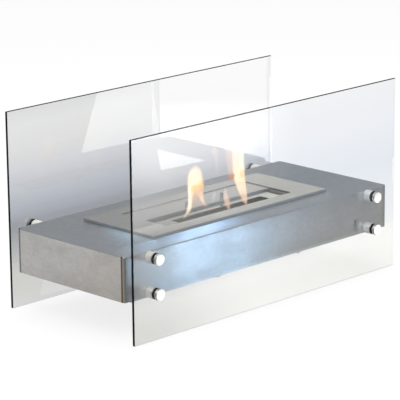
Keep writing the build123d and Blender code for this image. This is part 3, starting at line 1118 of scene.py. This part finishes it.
@dataclass
class Burner:
    """The lift-out burner: bezel, tank, slotted plate, rails and the fibre that holds the fuel."""

    finishes: Finishes
    columns: int = 90
    rows: int = 34
    sag: float = 1.2 * MM
    sag_reach: float = 3.0 * MM
    fluff: float = 0.25 * MM
    nap: float = 0.4 * MM
    strands: float = 130000.0
    strand_length: float = 7.0 * MM
    strand_radius: float = 0.11 * MM
    tilt: float = 0.12

    def build(self) -> None:
        """Dresses the sheet parts and makes the fibre block."""
        dress(self.finishes["frame"], "burner_frame")
        dress(self.finishes["deck"], "slotted_plate")
        dress(self.finishes["tank"], "burner_tank", "left_lid_rail", "right_lid_rail")
        self.fibre_block()

    def fibre_block(self) -> None:
        """Makes the soft block with strands that stand off its top."""
        low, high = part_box("ceramic_wool")
        rng = np.random.default_rng(7)
        columns, rows = self.columns, self.rows
        points = []
        for y in np.linspace(low.y, high.y, rows):
            for x in np.linspace(low.x, high.x, columns):
                edge = min(x - low.x, high.x - x, y - low.y, high.y - y)
                drop = self.sag * math.exp(-edge / self.sag_reach) + abs(rng.normal(0, self.fluff))
                points.append((x, y, high.z - self.nap - min(drop, 2 * self.sag)))
        rim = ([(0, c) for c in range(columns)] + [(r, columns - 1) for r in range(1, rows)]
               + [(rows - 1, c) for c in range(columns - 2, -1, -1)] + [(r, 0) for r in range(rows - 2, 0, -1)])
        ring = [r * columns + c for r, c in rim]
        start, count = len(points), len(ring)
        points += [(points[i][0], points[i][1], low.z) for i in ring]
        faces = grid(columns, rows)
        faces += [(ring[(k + 1) % count], ring[k], start + k, start + (k + 1) % count) for k in range(count)]
        faces.append(tuple(start + k for k in reversed(range(count))))
        fibre = self.finishes["fibre"]
        block = new_piece("fibre_core", np.array(points), faces, fibre)
        piece = apply_tree("fibre_blanket", block.data, self.strand_tree(), {
            "Density": self.strands, "Length": self.strand_length, "Thickness": self.strand_radius, "Material": fibre})
        bpy.data.objects.remove(block)
        seat(piece, "burner", "white_fibre", "ceramic_wool")

    def strand_tree(self) -> bpy.types.NodeTree:
        """A tree that scatters short lying strands over the faces that look up.

        Returns:
            The tree.
        """
        board, given, result = new_tree("fibre_strands", "Geometry", {
            "Geometry": "Geometry", "Density": 40000.0, "Length": 7.0 * MM, "Thickness": 0.11 * MM,
            "Material": "Material"}, ("Geometry",))
        normal = board.add("GeometryNodeInputNormal").outputs[0]
        up = board.math("GREATER_THAN", board.axes(normal)[2], AXIS_ALIGNED)
        scatter = board.add("GeometryNodeDistributePointsOnFaces", {
            "Mesh": given["Geometry"], "Selection": up, "Density": given["Density"], "Seed": 11})
        half = board.times(given["Length"], 0.5)
        crest = board.vector(0.0, board.times(half, 0.5), board.times(given["Thickness"], 3.0))
        start, end = board.vector(board.times(half, -1.0)), board.vector(half)
        arc = board.add("GeometryNodeCurveQuadraticBezier", {
            "Resolution": 4, "Start": start, "Middle": crest, "End": end})
        section = board.add("GeometryNodeCurvePrimitiveCircle", {"Resolution": 3, "Radius": given["Thickness"]})
        strand = board.add("GeometryNodeCurveToMesh", {
            "Curve": arc.outputs[0], "Profile Curve": section.outputs[0], "Fill Caps": True})
        turn = board.add("FunctionNodeRandomValue", {
            "Min": (-self.tilt, -self.tilt, 0.0), "Max": (self.tilt, self.tilt, 2 * math.pi), "Seed": 5},
            data_type="FLOAT_VECTOR")
        each = board.add("GeometryNodeInstanceOnPoints", {
            "Points": scatter.outputs["Points"], "Instance": strand.outputs[0], "Rotation": turn.outputs[0]})
        joined = board.add("GeometryNodeJoinGeometry")
        board.feed(joined.inputs[0], given["Geometry"])
        board.feed(joined.inputs[0], each.outputs[0])
        return close_tree(board, joined.outputs[0], given["Material"], result)


@dataclass
class Lid:
    """The sliding lid with its two turned knobs."""

    finishes: Finishes
    neck: float = 0.5 * MM
    neck_height: float = 1.0 * MM
    crown: float = 0.8 * MM
    sides: int = 40

    def build(self) -> None:
        """Dresses the lid and turns the knobs."""
        dress(self.finishes["lid"], "regulator_lid")
        dress(self.finishes["zinc"], "knob_screws")
        for hand in ("left", "right"):
            self.knob(hand)

    def knob(self, hand: str) -> None:
        """Turns one knob.

        Args:
            hand: the side that it stands on.
        """
        low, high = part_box(f"{hand}_lid_knob")
        radius, height, rise = (high.x - low.x) / 2, high.z - low.z, self.neck_height
        waist = radius - self.neck
        profile = [(0.0, 0.0, 0.0), (0.0, radius, 0.1 * MM), (rise, radius, 0.15 * MM), (rise * 1.15, waist, 0.1 * MM),
                   (rise * 1.85, waist, 0.1 * MM), (rise * 2.0, radius, 0.15 * MM), (height, radius, self.crown),
                   (height, 0.0, 0.0)]
        foot = Vector(((low.x + high.x) / 2, (low.y + high.y) / 2, low.z))
        piece = turned(f"{hand}_knob_peg", profile, foot, Vector((0, 0, 1)), self.finishes["knob"], self.sides)
        seat(piece, "lid", "polished_steel", f"{hand}_lid_knob")


@dataclass
class Tongue:
    """One tongue of flame, lofted through its stations.

    A station is one level in millimetres: its middle along X, its height and its half width.
    """

    name: str
    glow: FlameGlow
    stations: tuple[Point, ...]
    y: float = -36.5
    depth: float = 0.6
    sides: int = 28
    levels: int = 40
    least: float = 0.2 * MM

    def line(self) -> np.ndarray:
        """The tongue's middle and half width at even levels, smoothed through the stations.

        Returns:
            An array of x, z and half width in metres.
        """
        knots = np.array(self.stations) * MM
        knots = np.vstack([2 * knots[0] - knots[1], knots, 2 * knots[-1] - knots[-2]])
        out = []
        for spot in np.linspace(0, len(self.stations) - 1, self.levels):
            i = min(int(spot), len(self.stations) - 2)
            t = spot - i
            a, b, c, d = knots[i:i + 4]
            out.append(0.5 * (2 * b + (c - a) * t + (2 * a - 5 * b + 4 * c - d) * t ** 2
                              + (3 * b - a - 3 * c + d) * t ** 3))
        line = np.array(out)
        line[:, 2] = np.maximum(line[:, 2], self.least)
        return line

    def build(self, effects: Effects) -> bpy.types.Object:
        """Lofts the tongue.

        Args:
            effects: the shared effects.

        Returns:
            The object.
        """
        line, y = self.line(), self.y * MM
        turns = np.linspace(0, 2 * math.pi, self.sides, endpoint=False)
        rows = [np.stack([x + half * np.cos(turns), y + self.depth * half * np.sin(turns),
                          np.full(self.sides, z)], 1) for x, z, half in line]
        points = np.vstack([[[line[0, 0], y, line[0, 1]]], *rows, [[line[-1, 0], y, line[-1, 1]]]])
        faces = capped(self.levels, self.sides)
        piece = new_piece(self.name, points, faces, self.glow.build(effects), smooth_to=180.0)
        heights = points[:, 2]
        rise = piece.data.attributes.new("rise", "FLOAT", "POINT")
        rise.data.foreach_set("value", (heights - heights.min()) / (heights.max() - heights.min()))
        piece.visible_shadow = False
        piece.visible_glossy = False
        return piece


@dataclass
class Fire:
    """The lit fire over the slot."""

    effects: Effects
    shut_height: float = 0.140
    shut_share: float = 0.02

    def build(self) -> None:
        """Makes every tongue and sets it on the burner."""
        for tongue in fire_tongues():
            piece = tongue.build(self.effects)
            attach(piece, "burner")
            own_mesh(piece)
            log.info("built %s on burner", piece.name)


def fire_tongues() -> tuple[Tongue, ...]:
    """The tongues of the fire, from left to right.

    Returns:
        The tongues.
    """
    return (
        Tongue("left_flame_leg", FlameGlow(
            "flame_leg_glow", ((0.0, (1.35, 1.0, 0.65)), (0.3, (1.6, 1.42, 1.1)), (1.0, (1.65, 1.5, 1.2))),
            ((0.0, (1.2, 0.7, 0.4)), (1.0, (1.4, 0.85, 0.5))),
            ((0.0, 0.15), (0.2, 0.6), (0.7, 0.75), (0.88, 0.5), (1.0, 0.0))),
            ((-97.0, 150.4, 3.6), (-91.6, 155.6, 4.8), (-85.6, 162.0, 5.6), (-82.2, 172.0, 5.4), (-81.0, 182.4, 5.6),
             (-80.0, 195.0, 6.8), (-78.9, 205.0, 7.4), (-77.4, 215.0, 6.4)), y=-38.5),
        Tongue("left_flame_crown", FlameGlow(
            "left_flame_crown_glow",
            ((0.0, (1.45, 0.85, 0.45)), (0.25, (1.5, 0.95, 0.40)), (0.38, (1.6, 1.25, 0.62)),
             (0.55, (1.62, 1.45, 0.88)), (0.8, (1.6, 1.42, 0.95)), (1.0, (1.5, 1.2, 0.95))),
            ((0.0, (1.2, 0.60, 0.36)), (0.36, (1.3, 0.60, 0.20)), (0.6, (1.35, 0.85, 0.55)), (1.0, (1.2, 0.85, 0.80))),
            ((0.0, 0.0), (0.12, 0.3), (0.26, 0.65), (0.5, 0.82), (0.8, 0.75), (1.0, 0.4))),
            ((-64.8, 181.0, 17.0), (-65.2, 189.3, 18.4), (-65.6, 197.0, 18.9), (-66.1, 204.7, 18.9),
             (-66.7, 212.4, 18.3), (-67.1, 220.1, 17.2), (-66.9, 228.2, 14.4), (-66.4, 234.9, 9.6),
             (-66.2, 239.6, 2.0))),
        Tongue("left_flame_band", FlameGlow(
            "flame_band_glow", even((1.5, 0.72, 0.12)), even((1.4, 0.6, 0.1)),
            ((0.0, 0.0), (0.3, 0.35), (0.6, 0.62), (0.8, 0.45), (1.0, 0.0))),
            ((-76.6, 195.2, 12.5), (-75.0, 200.0, 14.6), (-73.9, 204.9, 14.8), (-73.2, 210.2, 12.6)),
            y=-48.5, depth=0.15),
        Tongue("left_flame_veil", FlameGlow(
            "flame_veil_glow", ((0.0, (0.95, 0.58, 0.40)), (1.0, (1.2, 0.74, 0.42))),
            ((0.0, (0.9, 0.5, 0.38)), (1.0, (1.1, 0.65, 0.4))), ((0.0, 0.08), (0.3, 0.24), (1.0, 0.36))),
            ((-60.6, 163.1, 17.0), (-62.9, 172.5, 17.0), (-65.2, 181.9, 16.5), (-65.3, 192.6, 16.5)), y=-34.5),
        Tongue("left_flame_tail", FlameGlow(
            "thin_leg_glow", ((0.0, (1.4, 0.9, 0.6)), (0.5, (1.55, 1.2, 0.85)), (1.0, (1.55, 1.1, 0.7))),
            ((0.0, (1.2, 0.6, 0.4)), (1.0, (1.3, 0.75, 0.45))), ((0.0, 0.4), (0.3, 0.65), (0.7, 0.5), (1.0, 0.0))),
            ((-40.8, 161.2, 3.6), (-46.3, 167.7, 4.6), (-50.1, 173.6, 5.2), (-52.6, 179.2, 6.0), (-54.4, 187.0, 6.9),
             (-56.1, 195.6, 7.4))),
        Tongue("lilac_flame", FlameGlow(
            "lilac_flame_glow", ((0.0, (0.72, 0.66, 1.0)), (1.0, (0.85, 0.80, 1.05))),
            ((0.0, (0.7, 0.65, 0.95)), (1.0, (0.8, 0.75, 0.95))), ((0.0, 0.0), (0.4, 0.4), (1.0, 0.0))),
            ((-23.1, 162.9, 2.9), (-22.3, 169.9, 3.3), (-20.7, 180.4, 3.3), (-20.3, 189.3, 1.9))),
        Tongue("thin_high_flame", FlameGlow(
            "high_flame_glow",
            ((0.0, (0.85, 0.74, 0.98)), (0.6, (0.98, 0.74, 0.82)), (0.85, (1.35, 0.92, 0.72)), (1.0, (1.3, 1.0, 0.9))),
            ((0.0, (0.85, 0.75, 0.95)), (1.0, (1.2, 0.95, 0.85))),
            ((0.0, 0.0), (0.3, 0.16), (0.7, 0.22), (0.85, 0.32), (1.0, 0.0))),
            ((-13.0, 207.1, 3.2), (-13.8, 223.4, 3.6), (-15.3, 239.8, 4.2), (-18.0, 252.0, 7.0), (-20.0, 259.5, 6.8),
             (-20.7, 265.8, 3.5))),
        Tongue("low_middle_flame", FlameGlow(
            "low_flame_glow",
            ((0.0, (0.95, 0.58, 0.34)), (0.35, (1.1, 0.74, 0.5)), (0.6, (1.2, 0.85, 0.72)), (1.0, (1.2, 0.95, 0.9))),
            ((0.0, (0.9, 0.42, 0.18)), (1.0, (1.1, 0.75, 0.7))), ((0.0, 0.35), (0.3, 0.68), (0.6, 0.55), (1.0, 0.0))),
            ((15.4, 143.6, 3.2), (12.8, 152.7, 5.8), (10.4, 161.4, 6.9), (8.4, 170.1, 5.6), (7.2, 179.1, 4.0),
             (6.2, 187.7, 2.4))),
        Tongue("flame_branch", FlameGlow(
            "flame_branch_glow", ((0.0, (1.1, 0.66, 0.46)), (0.45, (1.08, 0.76, 0.64)), (1.0, (1.12, 1.0, 0.92))),
            ((0.0, (1.0, 0.60, 0.45)), (1.0, (1.05, 0.9, 0.85))),
            ((0.0, 0.2), (0.25, 0.5), (0.6, 0.5), (0.85, 0.3), (1.0, 0.0))),
            ((27.8, 199.4, 9.0), (28.8, 207.0, 13.0), (29.5, 219.8, 15.4), (28.7, 232.8, 16.4), (27.6, 245.8, 17.8),
             (26.6, 258.8, 17.0), (25.8, 269.2, 12.9)), y=-34.5),
        Tongue("flame_ember", FlameGlow(
            "flame_ember_glow", ((0.0, (0.6, 0.14, 0.03)), (1.0, (0.75, 0.24, 0.08))),
            ((0.0, (0.9, 0.3, 0.08)), (1.0, (0.95, 0.45, 0.25))), ((0.0, 0.4), (0.45, 0.95), (1.0, 0.1))),
            ((11.4, 200.4, 4.2), (12.1, 204.5, 7.4), (13.3, 208.4, 7.4), (14.0, 212.2, 4.4)), y=-46.0, depth=0.3),
        Tongue("tall_flame", FlameGlow(
            "tall_flame_glow",
            ((0.0, (1.2, 0.62, 0.28)), (0.1, (1.45, 1.0, 0.66)), (0.25, (1.6, 1.3, 0.88)), (0.4, (1.62, 1.40, 0.86)),
             (0.55, (1.62, 1.50, 1.08)), (1.0, (1.6, 1.52, 1.3))),
            ((0.0, (0.95, 0.38, 0.12)), (0.25, (1.3, 0.72, 0.42)), (0.4, (1.4, 0.86, 0.36)), (0.6, (1.35, 0.98, 0.72)),
             (1.0, (1.2, 1.05, 0.98))),
            ((0.0, 0.5), (0.1, 0.68), (0.3, 0.78), (0.5, 0.75), (0.7, 0.55), (0.87, 0.2), (1.0, 0.0))),
            ((59.2, 143.8, 2.4), (56.2, 150.2, 5.5), (54.8, 155.7, 7.1), (52.1, 164.1, 9.3), (49.3, 172.4, 10.9),
             (46.2, 182.1, 12.3), (43.4, 191.7, 13.6), (41.3, 200.8, 14.5), (40.4, 211.0, 14.7), (39.8, 221.2, 14.7),
             (39.4, 232.1, 14.9), (38.8, 244.1, 15.0), (38.0, 257.1, 14.8), (36.3, 270.2, 12.0), (34.6, 280.8, 7.0)),
            depth=0.5),
        Tongue("flame_amber", FlameGlow(
            "flame_amber_glow", ((0.0, (1.25, 0.66, 0.2)), (1.0, (1.3, 0.8, 0.3))),
            ((0.0, (1.2, 0.6, 0.2)), (1.0, (1.2, 0.7, 0.3))), ((0.0, 0.0), (0.5, 0.5), (1.0, 0.0))),
            ((41.6, 196.0, 4.2), (40.4, 205.8, 5.8), (39.4, 214.9, 5.4)), y=-46.0, depth=0.3),
    )


# ---------------------------------------------------------------- studio
FLAT = even(1.0)
REAR_GLASS_Y = 0.150    # the rear glass's inner face, a mirror that cards are placed for
FRONT_GLASS_Y = -0.155  # the front glass's outer face, another one
BODY_FRONT_Y = -0.1325  # the body's front, the third one
BEFORE_Y = -0.2         # the plane of the rear glass's cards, in front of the object
OVER_FLOOR = 0.002      # how high the cards on the floor lie


@dataclass(frozen=True)
class Card:
    """A glowing card of the studio, which only reflections see, in chosen pieces.

    Its corners run round it from the first one: along the first side runs "across", and
    from that side to the opposite one runs "along".
    """

    name: str
    corners: tuple[Point, ...]
    seen_by: tuple[str, ...]
    along: Stops = FLAT
    across: Stops = FLAT
    strength: float = 1.0
    cells: int = 12

    def build(self) -> None:
        """Makes the card and links its light to the pieces that show it."""
        a, b, c, d = (Vector(corner) for corner in self.corners)
        count = self.cells + 1
        shares = [(i / self.cells, j / self.cells) for j in range(count) for i in range(count)]
        points = np.array([a.lerp(b, u).lerp(d.lerp(c, u), v) for u, v in shares])
        card = new_piece(self.name, points, grid(count, count), self.material())
        layer = card.data.uv_layers.new(name="UVMap")
        for loop in card.data.loops:
            layer.data[loop.index].uv = shares[loop.vertex_index]
        card.visible_camera = False
        card.visible_diffuse = False
        card.visible_transmission = False
        card.visible_shadow = False
        receivers = bpy.data.collections.new(self.name + "_receivers")
        for name in self.seen_by:
            receivers.objects.link(bpy.data.objects[name])
        card.light_linking.receiver_collection = receivers

    def material(self) -> bpy.types.Material:
        """Builds a clear material that glows in reflections only."""
        material = bpy.data.materials.new(self.name)
        board = empty_board(material)
        material.cycles.emission_sampling = "NONE"
        u, v, _ = board.axes(board.add("ShaderNodeTexCoord").outputs["UV"])
        glow = board.mix(1.0, board.ramp(v, self.along), board.ramp(u, self.across), "MULTIPLY")
        strength = board.times(board.mirrored(board.rays()), self.strength)
        light = board.add("ShaderNodeEmission", {"Color": glow, "Strength": strength})
        clear = board.add("ShaderNodeBsdfTransparent")
        both = board.add("ShaderNodeAddShader", {0: light.outputs[0], 1: clear.outputs[0]})
        board.add("ShaderNodeOutputMaterial", {"Surface": both.outputs[0]})
        return material


def in_rear_glass(*points: tuple[float, float]) -> tuple[Point, ...]:
    """Places a card's corners so that the rear glass shows them at the points given.

    Args:
        *points: the points on the rear glass's inner face, across and up.

    Returns:
        The corners, on a plane in front of the object.
    """
    eye = Vector(Studio.place)
    far = (2 * REAR_GLASS_Y - BEFORE_Y - eye.y) / (REAR_GLASS_Y - eye.y)
    return tuple((eye.x + (x - eye.x) * far, BEFORE_Y, eye.z + (z - eye.z) * far) for x, z in points)


def on_floor(plane: float, *points: tuple[float, float]) -> tuple[Point, ...]:
    """Places a card's corners on the floor so that an upright mirror shows them at the points given.

    Args:
        plane: the mirror's depth.
        *points: the points on the mirror, across and up.

    Returns:
        The corners, just above the floor.
    """
    eye = Vector(Studio.place)
    corners = []
    for x, z in points:
        far = eye.z / (eye.z - z)
        corners.append((eye.x + (x - eye.x) * far, 2 * plane - (eye.y + (plane - eye.y) * far), OVER_FLOOR))
    return tuple(corners)


def panel(start: Point, end: Point) -> tuple[Point, ...]:
    """The corners of an upright card between two opposite ones, round from the lower start."""
    (x, y, low), (far_x, far_y, high) = start, end
    return (start, (far_x, far_y, low), end, (x, y, high))


def studio_cards() -> tuple[Card, ...]:
    """The cards that the glass and the steel mirror.

    Returns:
        The cards.
    """
    rear, front, shell = ("rear_glass_pane",), ("front_glass_pane",), ("body_shell",)
    burner = ("burner_frame", "regulator_lid", "slotted_plate")
    (front_caps, front_barrels), (rear_caps, rear_barrels) = (
        [tuple(place + part for place in side.stand_offs) for part in ("_cap_face", "_barrel")] for side in Side)
    return (
        # what the front glass shows: a pale veil over its left half
        Card("front_veil_card", ((-0.1618, -0.3467, 0.001), (0.5668, -0.3467, 0.001), (1.6, -1.22, 0.001),
                                 (0.65, -1.22, 0.001)), front,
             ((0.0, 2.0), (0.024, 1.9), (0.084, 2.6), (0.178, 2.7), (0.243, 1.2), (0.277, 1.1), (0.311, 1.5),
              (0.382, 3.3), (0.455, 4.8), (0.532, 4.6), (0.611, 5.2), (0.694, 6.5), (0.78, 8.0), (0.872, 8.6),
              (1.0, 8.8)), ((0.0, 1.0), (0.06, 1.0), (0.52, 0.10), (0.60, 0.0), (1.0, 0.0))),
        Card("front_low_card", ((-0.34, -0.155, 0.001), (0.34, -0.155, 0.001), (0.5668, -0.3467, 0.001),
                                (-0.1618, -0.3467, 0.001)), front,
             ((0.0, 1.6), (0.12, 1.9), (0.23, 2.3), (0.47, 3.4), (0.72, 4.0), (0.92, 3.4), (1.0, 2.4)),
             ((0.0, 0.75), (0.08, 0.95), (0.25, 1.05), (0.5, 0.68), (0.68, 0.5), (0.85, 0.2), (1.0, 0.1))),
        Card("front_wedge_card", on_floor(FRONT_GLASS_Y, (-0.2671, 0.3207), (-0.1572, 0.2818), (-0.2595, 0.2841),
                                          (-0.2671, 0.3207)), front, strength=4.0),
        # what the rear glass shows: windows, a wall, and the floor behind the object
        Card("window_card", in_rear_glass((-0.1586, 0.2462), (0.031, 0.243), (0.015, 0.352), (-0.116, 0.352)), rear,
             strength=3.2),
        Card("window_bar_card", in_rear_glass((0.013, 0.238), (0.033, 0.242), (0.033, 0.352), (0.013, 0.352)), rear,
             strength=2.6),
        Card("wall_card", in_rear_glass((0.033, 0.236), (0.312, 0.145), (0.312, 0.352), (0.033, 0.352)), rear,
             ((0.0, 7.5), (0.36, 7.0), (0.62, 3.9), (1.0, 3.9))),
        Card("wall_end_card", in_rear_glass((0.312, 0.145), (0.330, 0.139), (0.330, 0.352), (0.312, 0.352)), rear,
             ((0.0, 6.0), (0.36, 5.0), (0.62, 2.4), (1.0, 2.4))),
        Card("floor_wedge_card", on_floor(REAR_GLASS_Y, (-0.2638, 0.0068), (-0.2437, 0.066), (-0.15, 0.072),
                                          (-0.18, 0.0036)), rear, strength=0.9),
        # what the steel shows: a blue window in front, a warm floor at the end
        Card("sky_glow_card", on_floor(BODY_FRONT_Y, (-0.27, 0.066), (0.08, 0.066), (0.08, 0.165), (-0.27, 0.165)),
             shell, ((0.0, (1.5, 2.3, 3.1)), (0.34, (2.1, 3.15, 4.2)), (0.65, (2.3, 3.35, 4.4)),
                     (0.79, (3.2, 4.6, 6.0)), (1.0, (5.0, 7.2, 9.2))),
             ((0.0, 0.0), (0.057, 0.36), (0.143, 0.95), (0.257, 1.08), (0.371, 1.08), (0.543, 0.82), (0.657, 0.42),
              (0.771, 0.24), (0.886, 0.07), (1.0, 0.0))),
        Card("sky_strip_card", panel((-0.30, -0.0868, 0.1476), (0.06, -0.0868, 0.170)), shell,
             ((0.0, (1.3, 1.85, 2.6)), (0.3, (0.8, 1.25, 1.95)), (0.63, (1.4, 2.15, 3.0)), (1.0, (1.3, 2.0, 2.8))),
             ((0.0, 0.0), (0.11, 0.12), (0.20, 0.24), (0.30, 0.34), (0.39, 0.6), (0.46, 0.97), (0.60, 1.0),
              (0.72, 0.5), (0.84, 0.14), (1.0, 0.0))),
        Card("pale_strip_card", panel((0.0, -0.0868, 0.1476), (0.22, -0.0868, 0.166)), shell, strength=0.14),
        Card("side_strip_card", panel((-0.2155, -0.095, 0.1476), (-0.2155, 0.05, 0.170)), shell,
             ((0.0, (0.24, 0.38, 0.48)), (1.0, (0.14, 0.24, 0.32))), ((0.0, 1.0), (0.5, 1.0), (0.8, 0.4), (1.0, 0.0))),
        Card("front_rim_card", panel((-0.24, -0.03, 0.154), (0.20, -0.03, 0.180)), burner,
             across=((0.0, 1.0), (0.45, 1.0), (0.68, 0.6), (0.85, 0.2), (1.0, 0.0)), strength=0.36),
        Card("warm_end_card", ((-1.3, 0.7, 0.003), (-1.3, -0.15, 0.003), (-0.34, -0.15, 0.003), (-0.34, 0.7, 0.003)),
             shell, ((0.0, 1.15), (0.55, 1.13), (0.66, 1.06), (0.74, 0.95), (0.82, 0.82), (1.0, 0.65)),
             ((0.0, (0.70, 0.67, 0.62)), (0.27, (0.66, 0.63, 0.57)), (0.46, (0.555, 0.515, 0.465)),
              (0.54, (0.54, 0.50, 0.455)), (0.66, (0.49, 0.425, 0.36)), (0.75, (0.43, 0.36, 0.28)),
              (1.0, (0.40, 0.33, 0.26)))),
        Card("high_window_card", panel((1.2, -1.7, 0.02), (1.2, 0.35, 1.9)), shell, even((0.16, 0.19, 0.22)),
             ((0.0, 1.0), (0.8, 1.0), (1.0, 0.0))),
        Card("right_floor_card", on_floor(BODY_FRONT_Y, (-0.05, 0.03), (0.40, 0.03), (0.40, 0.150), (-0.05, 0.150)),
             shell, ((0.0, (0.18, 0.16, 0.13)), (0.35, (0.30, 0.27, 0.21)), (0.48, (0.60, 0.56, 0.50)),
                     (0.73, (0.86, 0.80, 0.72)), (0.95, (1.25, 1.16, 1.05)), (1.0, (1.3, 1.2, 1.1))),
             ((0.0, 0.0), (0.2, 1.0), (0.378, 0.78), (0.644, 0.68), (0.822, 0.5), (1.0, 0.5))),
        Card("back_wall_card", panel((0.10, 0.3, 0.18), (0.75, 0.3, 0.6)), burner, even((0.49, 0.43, 0.34)),
             ((0.0, 0.0), (0.08, 0.1), (0.31, 0.8), (0.58, 1.0), (1.0, 1.0))),
        Card("stand_off_floor_card", ((-0.35, -0.8, 0.003), (1.0, -0.8, 0.003), (1.0, -0.17, 0.003),
                                      (-0.35, -0.17, 0.003)), front_caps + rear_caps + front_barrels),
        Card("front_stand_off_card", panel((-0.9, 0.6, 0.2), (1.2, 0.6, 1.5)), front_caps + front_barrels,
             strength=2.0),
        Card("rear_stand_off_card", panel((-0.9, 0.6, 0.2), (1.2, 0.6, 1.5)), rear_caps + rear_barrels, strength=0.08),
    )


@dataclass(frozen=True)
class Softbox:
    """A square soft light that looks at the object; size in metres, power in watts."""

    name: str
    place: Point
    size: float
    power: float
    colour: Colour
    mirrored: bool = True

    def build(self) -> None:
        """Hangs the light, which metal and glass show only if it is mirrored."""
        lamp = bpy.data.lights.new(self.name, "AREA")
        lamp.shape = "SQUARE"
        lamp.size = self.size
        lamp.energy = self.power
        lamp.color = self.colour
        holder = linked(self.name, lamp)
        holder.location = self.place
        holder.rotation_euler = (-Vector(self.place)).to_track_quat("-Z", "Y").to_euler()
        holder.visible_camera = False
        holder.visible_transmission = False
        holder.visible_glossy = self.mirrored


@dataclass
class Studio:
    """The floor, the soft light and the camera."""

    floor_size: float = 40.0
    floor_grey: float = 0.80
    floor_glow: float = 0.80
    seen_share: float = 0.30
    mirrored_share: float = 0.35
    low_sky: Stops = ((0.0, (0.30, 0.38, 0.46)), (0.3, (0.30, 0.38, 0.46)), (0.8, (0.42, 0.45, 0.48)),
                      (1.0, (0.42, 0.45, 0.48)))
    high_sky: Stops = ((0.0, 0.45), (0.8, 0.45), (0.95, 1.0), (1.0, 1.0))
    diagonal: float = 0.7071
    fill: float = 0.62
    softboxes: tuple[Softbox, ...] = (
        Softbox("key_softbox", (-1.1, -1.3, 1.7), 1.3, 17.0, (1.0, 0.985, 0.96)),
        Softbox("top_softbox", (0.5, 0.4, 2.0), 1.6, 14.0, (0.97, 0.985, 1.0), mirrored=False))
    place: Point = (-2.82028, -2.82116, 1.21768)
    pitch: float = 1.31099
    azimuth: float = -0.78223
    roll: float = -0.01041
    lens: float = 211.348
    sensor: float = 36.0

    def build(self) -> None:
        """Sets up everything that isn't the object."""
        self.floor()
        self.world()
        for light in (*studio_cards(), *self.softboxes):
            light.build()
        self.camera()
        bpy.context.scene.view_settings.view_transform = "Standard"
        log.info("studio is ready")

    def floor(self) -> None:
        """Makes the pale floor, which the camera sees as white with the object's soft shadow."""
        half = self.floor_size / 2
        corners = np.array([(-half, -half, 0), (half, -half, 0), (half, half, 0), (-half, half, 0)], float)
        material = bpy.data.materials.new("pale_floor")
        board = empty_board(material)
        path = board.rays()
        seen = board.seen(path)
        lit = board.mix(path["Is Glossy Ray"], self.floor_grey, self.floor_grey * self.mirrored_share)
        shader = board.add("ShaderNodeBsdfPrincipled", {
            "Base Color": board.mix(seen, lit, self.floor_grey * self.seen_share), "Roughness": 0.9,
            "Specular IOR Level": 0.1, "Emission Color": rgba(1.0),
            "Emission Strength": board.times(seen, self.floor_glow)})
        board.add("ShaderNodeOutputMaterial", {"Surface": shader.outputs[0]})
        floor = new_piece("pale_floor", corners, [(0, 1, 2, 3)], material)

    def world(self) -> None:
        """Makes the white background and the soft room that metal reflects."""
        world = bpy.data.worlds.new("soft_room")
        bpy.context.scene.world = world
        board = empty_board(world)
        x, y, z = board.axes(board.add("ShaderNodeTexCoord").outputs["Generated"])
        behind = board.times(board.math("ADD", x, y), self.diagonal)
        room = board.mix(board.span(z, 0.25, 0.6), board.ramp(behind, self.low_sky), board.ramp(z, self.high_sky))
        path = board.rays()
        colour = board.mix(board.seen(path), board.mix(path["Is Glossy Ray"], self.fill, room), 1.0)
        back = board.add("ShaderNodeBackground", {"Color": colour, "Strength": 1.0})
        board.add("ShaderNodeOutputWorld", {"Surface": back.outputs[0]})

    def camera(self) -> None:
        """Puts the camera where the photograph's was."""
        data = bpy.data.cameras.new("camera")
        data.lens = self.lens
        data.sensor_width = self.sensor
        data.clip_end = 100.0
        camera = linked("camera", data)
        turn = (Euler((0, 0, self.azimuth)).to_matrix() @ Euler((self.pitch, 0, 0)).to_matrix()
                @ Euler((0, 0, self.roll)).to_matrix())
        camera.matrix_world = turn.to_4x4()
        camera.location = self.place
        bpy.context.scene.camera = camera


def main() -> None:
    """Builds the dressed fireplace and its studio."""
    logging.basicConfig(level=logging.INFO, format="%(name)s: %(message)s")
    effects = Effects()
    finishes = all_finishes(effects)
    SteelBody(finishes).build()
    for side in Side:
        GlassSide(side, finishes).build()
    Burner(finishes).build()
    Lid(finishes).build()
    Fire(effects).build()
    Studio().build()


if __name__ == "__main__":
    main()
